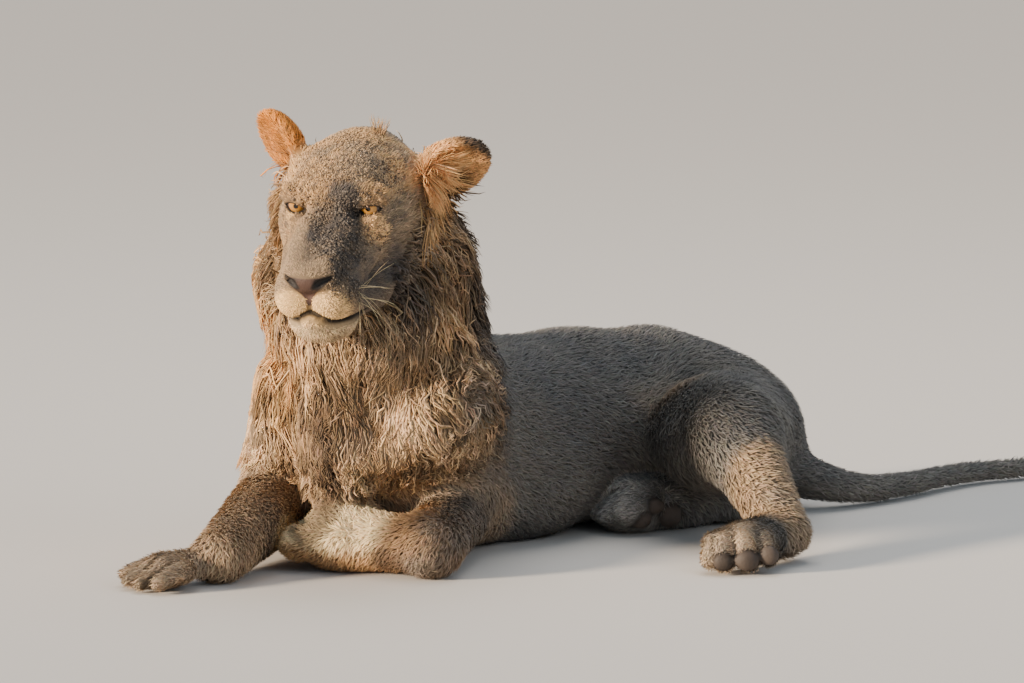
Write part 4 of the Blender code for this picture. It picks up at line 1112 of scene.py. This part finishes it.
def crumbs(name, found, size, finish):
    """Dried mud: eight-sided lumps, each with its six corners pushed out by their own random amounts."""
    rng, place, normal = found["rng"], found["place"], found["normal"]
    count = len(place)
    first = level(rng.normal(0, 1, place.shape), normal)
    second = np.cross(normal, first)
    size = size * np.exp(np.clip(rng.normal(0, 0.4, (count, 1)), -0.8, 0.5))
    ways = ((first, 1), (second, 1), (-first, 1), (-second, 1), (normal, 0.45), (-normal, 0.45))
    rows = [place + way * size * rng.uniform(0.5, 1.1, (count, 1)) * high + normal * size * 0.25
            for way, high in ways]
    faces = [(k, (k + 1) % 4, 4, -1) for k in range(4)] + [((k + 1) % 4, k, 5, -1) for k in range(4)]
    dry = rng.random((count, 1)) < 0.55
    tint = np.where(dry, found["colour"] * 0.7 + PALE_MUD * 0.3, SLATE * 0.50 + found["colour"] * 0.20)
    tint = tint * rng.uniform(0.7, 1.2, (count, 1)) * rng.uniform(0.8, 1.2, (count, 1))
    spread = ((1, 0), (0, 1), (-1, 0), (0, -1), (0, 0), (0, 0))
    flats = [found["flat"] + 0.0013 * np.array(corner) for corner in spread]
    return hair_object(name, rows, flats, [tint] * 6, faces, finish)


brow_mud = around(middle_q, (0.000, -0.040, 0.050), 0.050, 0.100)
cheek_mud = 0.5 * around(middle_q, (0.062, 0.024, -0.038), 0.012, 0.028)
bridge_mud = 0.8 * taper_share(middle_q, (0.010, 0.02, 0.0), (0.036, 0.105, -0.074), 0.030)
crumb_share = np.maximum(brow_mud, np.maximum(cheek_mud, bridge_mud))
crumb_share = crumb_share * np.clip(0.45 + 0.8 * clouds(middles, 0.012, 43), 0, 1)
found = roots(np.where(on_head & ~bare_face & ~on_ear, 420000 * crumb_share, 0), 42)
found["place"] = found["place"] + found["normal"] * 0.0013
mud = crumbs("mud_crumbs", found, 0.0017, face_finish)

# ------------------------------------------------------------------ the ears
# Rounded ears, gold on their backs with a dark rim, and long pale hair over the hollow.

ear_finish = hair_finish("ear hair")
found = roots(np.where(on_ear & on_head, 200000, 0), 51)
ears = blades("ear_hair", found, 0.010, 0.0018, 0.0024, ear_finish, stray=0.25)

# ------------------------------------------------------------------ the mane
# A young, short mane: matted, wavy locks from the crown down the neck, under the chin and over
# the chest. Each lock is a three-sided strand carried down its own path over the skin, and locks
# that start together are drawn together toward their tips.


def strands(name, found, length, width, finish, heading=None, sag=0.5, tangle=0.5, wave=0.004, waves=2.0,
            low=0.002, high=0.030, pull=0.55, cell=0.024, lift=0.5, rings=7, bright=0.25, tips=1.25,
            unruly=0.22):
    """Long locks, each a closed three-sided strand carried along a path.

    Each step of a path turns toward the ground by `sag` and toward a smooth random field by
    `tangle`; its height over the skin is kept between `low` and `high`. A sine of size `wave` bends
    it sideways, and it is drawn by `pull` toward the leading lock of its own cell of the skin. A
    share `unruly` of the locks starts off its own way and is hardly drawn in.
    """
    rng, place, normal = found["rng"], found["place"], found["normal"]
    count = len(place)
    length = (np.reshape(length, (-1, 1)) * rng.uniform(0.65, 1.25, (count, 1)))
    wild = (rng.random((count, 1)) < unruly)
    heading = lie(place, found["parts"]) if heading is None else heading
    heading = heading + rng.normal(0, 1, place.shape) * np.where(wild, 0.7, 0.25 * min(1, 5 * unruly))
    heading = unit(level(heading, normal) + normal * lift)
    fall = np.array((0, 0, -1.0)) * sag / (rings - 1) * 2
    top = np.broadcast_to(np.reshape(high, (-1,)), (count,))
    spine = [place - normal * 0.002]
    for k in range(1, rings):
        last = spine[-1]
        swirl = np.stack([clouds(last, 0.030, seed) for seed in (61, 62, 63)], axis=1)
        heading = unit(heading + fall + swirl * tangle / (rings - 1) * 2)
        step = last + heading * length / (rings - 1)
        height, slope = hide(step), unit(outward(step, hide))
        least = low + 0.5 * top * rng.uniform(0.2, 1, count) * k / (rings - 1)
        step = step + slope * (np.clip(height, least, top) - height)[:, None]
        step[:, 2] = np.maximum(step[:, 2], 0.004)
        heading = unit(step - last)
        spine.append(step)
    spine = np.stack(spine)
    keys = np.floor(place / cell).astype(int) @ np.array((73856093, 19349663, 83492791))
    _, first, group = np.unique(keys, return_index=True, return_inverse=True)
    leader = first[group]
    share = np.linspace(0, 1, rings)[:, None, None]
    spine = spine + (spine[:, leader] - spine) * pull * np.where(wild, 0.15, 1.0) * share ** 1.5
    along = unit(np.gradient(spine, axis=0))
    outer = unit(normal[None] - (normal[None] * along).sum(-1, keepdims=True) * along)
    side = np.cross(along, outer)
    phase = rng.uniform(0, 2 * math.pi, (count, 1))
    phase = np.where(rng.random((count, 1)) < 0.7, phase[leader], phase)
    turns = waves * rng.uniform(0.7, 1.5, (len(first), 1))[group]
    spine = spine + side * wave * share * np.sin(2 * math.pi * turns * share + phase[None])
    width = np.reshape(width, (-1, 1)) * rng.uniform(0.6, 1.4, (count, 1))
    group_tone = np.exp(rng.normal(0, bright, (len(first), 1)))[group]
    own_tone = np.exp(rng.normal(0, bright * 0.8, (count, 1)))
    tone = group_tone * own_tone * (1 + rng.normal(0, 0.03, (count, 3)))
    rows, flats, shades = [], [], []
    for k in range(rings):
        s = k / (rings - 1)
        half = width * 0.5 * (0.75 + 0.9 * s - 1.65 * s ** 3) if s < 1 else 0 * width
        for turn in ((0, 1, 2) if s < 1 else (0,)):
            angle = 2 * math.pi * turn / 3 + math.pi / 6
            rows.append(spine[k] + side[k] * half * math.cos(angle) + outer[k] * half * 0.6 * math.sin(angle))
            flats.append(found["flat"] + 0.0026 * np.array(((turn - 1) * 0.5 * (1 - s), s - 0.5)))
            shades.append(found["colour"] * tone * (0.45 + (tips - 0.45) * s ** 0.8))
    each, faces = len(rows), [(2, 1, 0, -1)]
    for k in range(rings - 2):
        for turn in range(3):
            a, b = 3 * k + turn, 3 * k + (turn + 1) % 3
            faces.append((a, b, b + 3, a + 3))
    tail = 3 * (rings - 2)
    faces += [(tail + turn, tail + (turn + 1) % 3, each - 1, -1) for turn in range(3)]
    return hair_object(name, rows, flats, shades, faces, finish)


mane_finish = hair_finish("mane hair", 0.66)
for name, zone, density, rings, seed in (
        ("mane_front_left", (middles[:, 1] < -0.53) & (middles[:, 0] >= 0.05), 56000, 7, 71),
        ("mane_front_right", (middles[:, 1] < -0.53) & (middles[:, 0] < 0.05), 54000, 7, 74),
        ("mane_neck", middles[:, 1] >= -0.53, 26000, 6, 72)):
    found = roots(np.where((chest_zone | shoulder_zone) & zone & ~on_floor, density, 0), seed)
    ahead, above = found["place"][:, 1], found["place"][:, 2]
    length = 0.060 + 0.034 * near(ahead + 0.56, 0.10) * near(above - 0.40, 0.10)
    length = length * (1 - 0.55 * near(above - 0.16, 0.09))
    length = length * (1 - 0.40 * near(-0.47 - ahead, 0.06) * near(above - 0.30, 0.08))
    length = length * (1 - 0.45 * near(0.56 - above, 0.08))
    high = 0.014 + 0.014 * near(0.40 - above, 0.08) - 0.006 * near(0.56 - above, 0.06)
    mane = strands(name, found, length, 0.0028, mane_finish, high=high, tangle=1.0, wave=0.005, rings=rings,
                   pull=0.70, cell=0.028, bright=0.34)
aside, ahead, above = middle_q.T
ruff_front = np.interp(above, (-0.15, -0.09, -0.03, 0.02), (-0.015, -0.020, -0.080, -0.110))
cheek_ruff = near(ahead - ruff_front, 0.020) * near(above + 0.005, 0.035)
nape_ruff = near(ahead + 0.175, 0.030) * near(above - 0.010, 0.020) * near(np.abs(aside) - 0.06, 0.03) * 0.8
ruff_share = np.clip(cheek_ruff + nape_ruff, 0, 1)
found = roots(np.where(on_head & ~on_ear & (ahead < 0.0), 62000 * ruff_share, 0), 73)
q = in_head(found["place"])
length = 0.022 + 0.034 * near(q[:, 1] + 0.090, 0.080) * near(q[:, 2] - 0.02, 0.08)
high = 0.005 + 0.22 * length + 0.012 * near(q[:, 0] + 0.07, 0.02)
heading = unit(unit(q - NOSE_TIP) + (0, -0.5, -0.2)) @ HEAD_AXES.T
ruff = strands("mane_ruff", found, length, 0.0024, mane_finish, heading=heading, sag=0.45, high=high,
               wave=0.002, cell=0.014, tangle=0.8, rings=6)

# ------------------------------------------------------------------ the long hair of the head
# Pale hair fans over the left ear's hollow, a wisp stands on the crown, long locks hang below the
# left ear, a fringe edges the right cheek, and stiff whiskers grow from the upper lips.


def some_of(share, count, seed):
    """So many random roots where a share is above 0."""
    return roots(share * count / max((areas * share).sum(), 1e-9), seed)


ear_root = np.array((0.092, -0.120, 0.018))
found = some_of(around(middle_q, ear_root - (0, 0, 0.004), 0.015, 0.026) * on_head, 520, 75)
# Partly the ear's pale hair, partly painted light: the streaks are made lighter over the shaded hollow of the
# left ear.
found["colour"] = GOLD * 1.35 + EAR_GOLD * 0.2
heading = unit(np.array((0.92, 0.20, 0.04)) + (in_head(found["place"]) - ear_root) * 2) @ HEAD_AXES.T
streaks = strands("ear_streaks", found, 0.062, 0.0020, mane_finish, heading=heading, sag=0.05, tangle=0.12,
                  high=0.030, wave=0.0008, waves=1.0, cell=0.008, lift=0.20, rings=6, bright=0.20,
                  unruly=0.02)
found = some_of(around(middle_q, (0.030, -0.135, 0.074), 0.008, 0.014) * on_head, 40, 76)
wisp = strands("crown_wisp", found, 0.026, 0.0011, mane_finish, sag=-0.5, tangle=0.8, high=0.050, low=0.0,
               wave=0.002, cell=0.010, pull=0.3, lift=3.0, rings=6, tips=1.4)
found = some_of(around(middle_q, (0.106, -0.092, -0.028), 0.014, 0.026) * on_head, 130, 78)
found["colour"] = found["colour"] * 0.2 + GOLD * 0.95
heading = (np.array((0.35, -0.45, -0.80)) + found["rng"].normal(0, 0.15, found["place"].shape)) @ HEAD_AXES.T
locks = strands("cheek_locks", found, 0.095, 0.0026, mane_finish, heading=heading, sag=1.0, tangle=0.7,
                high=0.016, cell=0.013, pull=0.8, tips=1.15)
fringe = taper_share(middle_q, (-0.096, -0.060, -0.020), (-0.084, -0.040, -0.110), 0.022) * on_head
found = some_of(fringe, 900, 79)
found["colour"] = found["colour"] * 0.5 + GOLD * 0.45
heading = (np.array((-0.75, -0.25, -0.60)) + found["rng"].normal(0, 0.25, found["place"].shape)) @ HEAD_AXES.T
locks = strands("cheek_fringe", found, 0.042, 0.0022, mane_finish, heading=heading, sag=0.5, tangle=0.6,
                high=0.022, wave=0.002, cell=0.010, lift=0.6, rings=6, tips=1.1)
found = some_of(around(head_s, (0.058, 0.100, -0.104), 0.008, 0.020) * on_head, 28, 77)
found["colour"] = CREAM
count = len(found["place"])
heading = np.stack([np.sign(in_head(found["place"])[:, 0]), np.full(count, -0.30),
                    -0.25 + found["rng"].normal(0, 0.2, count)], axis=1) @ HEAD_AXES.T
whiskers = strands("whiskers", found, 0.062, 0.0010, face_finish, heading=heading, sag=0.25, tangle=0.15,
                   high=0.060, low=0.0, wave=0.0005, pull=0.0, lift=0.4, tips=1.0)

# ------------------------------------------------------------------ the tail tuft
# A small dark brush of matted hair round the tail's end.

found = roots(np.where(nearest == "tuft", 60000, 0), 81)
brush = strands("tail_brush", found, 0.060, 0.0036, mane_finish, sag=0.15, tangle=0.3, high=0.014, wave=0.002)

# ------------------------------------------------------------------ the floor
# A plain pale floor, far wider than the view, that takes the lion's shadow.

FLOOR_HALF = 30.0
square = np.array([(-1, -1, 0), (1, -1, 0), (1, 1, 0), (-1, 1, 0)]) * FLOOR_HALF
floor = mesh_object("floor", square, np.array([[0, 1, 2, 3]]))
floor_finish = Finish("floor", Roughness=0.9)
floor_finish.shader.inputs["Base Color"].default_value = (*srgb(214, 206, 196), 1)
floor.data.materials.append(floor_finish.material)

# ------------------------------------------------------------------ the light
# One low, warm sun from the lion's front right, a cool sky all round, and two wide soft lamps
# that open the shadows.

world = bpy.data.worlds.new("studio")
world.use_nodes = True
world.node_tree.nodes["Background"].inputs["Color"].default_value = (0.62, 0.80, 1.0, 1)
world.node_tree.nodes["Background"].inputs["Strength"].default_value = 0.46
bpy.context.scene.world = world


def lamp(name, place, aim, size, power, colour):
    """A soft square light at a place, turned to face its aim."""
    light = bpy.data.lights.new(name, "AREA")
    light.size, light.energy, light.color = size, power, colour
    obj = bpy.data.objects.new(name, light)
    place, aim = np.array(place), np.array(aim)
    back = unit(place - aim)
    right = unit(np.cross((0, 0, 1.0), back))
    obj.matrix_world = Matrix(np.vstack([np.column_stack([right, np.cross(back, right), back, place]),
                                         (0, 0, 0, 1)]).tolist())
    bpy.context.scene.collection.objects.link(obj)


sun = bpy.data.lights.new("warm key", "SUN")
sun.energy, sun.angle, sun.color = 9.5, math.radians(11), (1.0, 0.84, 0.66)
sun_at = bpy.data.objects.new("warm key", sun)
sun_at.rotation_euler = Vector((1.45, 4.70, -1.25)).to_track_quat("-Z", "Y").to_euler()
bpy.context.scene.collection.objects.link(sun_at)
lamp("cool fill", (4.2, 0.2, 2.4), (0.1, -0.1, 0.2), 3.0, 45, (0.88, 0.93, 1.0))
lamp("top", (-0.6, 0.8, 4.0), (0.0, 0.0, 0.1), 3.0, 90, (1.0, 0.97, 0.94))

# ------------------------------------------------------------------ the camera
# It looks from the lion's front left, a little above its back, through a long lens.

CAMERA_AZIMUTH, CAMERA_HEIGHT = math.radians(45), math.radians(8)
CAMERA_AWAY = 14.0
VIEW_WIDTH = 1.536                              # metres across the view at the lion
AIM_RIGHT, AIM_UP = -0.132, 0.26775             # the middle of the view, from the origin
SENSOR = 36.0
back = np.array((math.sin(CAMERA_AZIMUTH) * math.cos(CAMERA_HEIGHT),
                 -math.cos(CAMERA_AZIMUTH) * math.cos(CAMERA_HEIGHT), math.sin(CAMERA_HEIGHT)))
right = np.array((math.cos(CAMERA_AZIMUTH), math.sin(CAMERA_AZIMUTH), 0.0))
up = np.cross(back, right)
place = AIM_RIGHT * right + AIM_UP * up + CAMERA_AWAY * back
lens = bpy.data.cameras.new("camera")
lens.sensor_width, lens.lens, lens.clip_end = SENSOR, SENSOR * CAMERA_AWAY / VIEW_WIDTH, 100.0
camera = bpy.data.objects.new("camera", lens)
camera.matrix_world = Matrix(np.vstack([np.column_stack([right, up, back, place]), (0, 0, 0, 1)]).tolist())
bpy.context.scene.collection.objects.link(camera)
bpy.context.scene.camera = camera
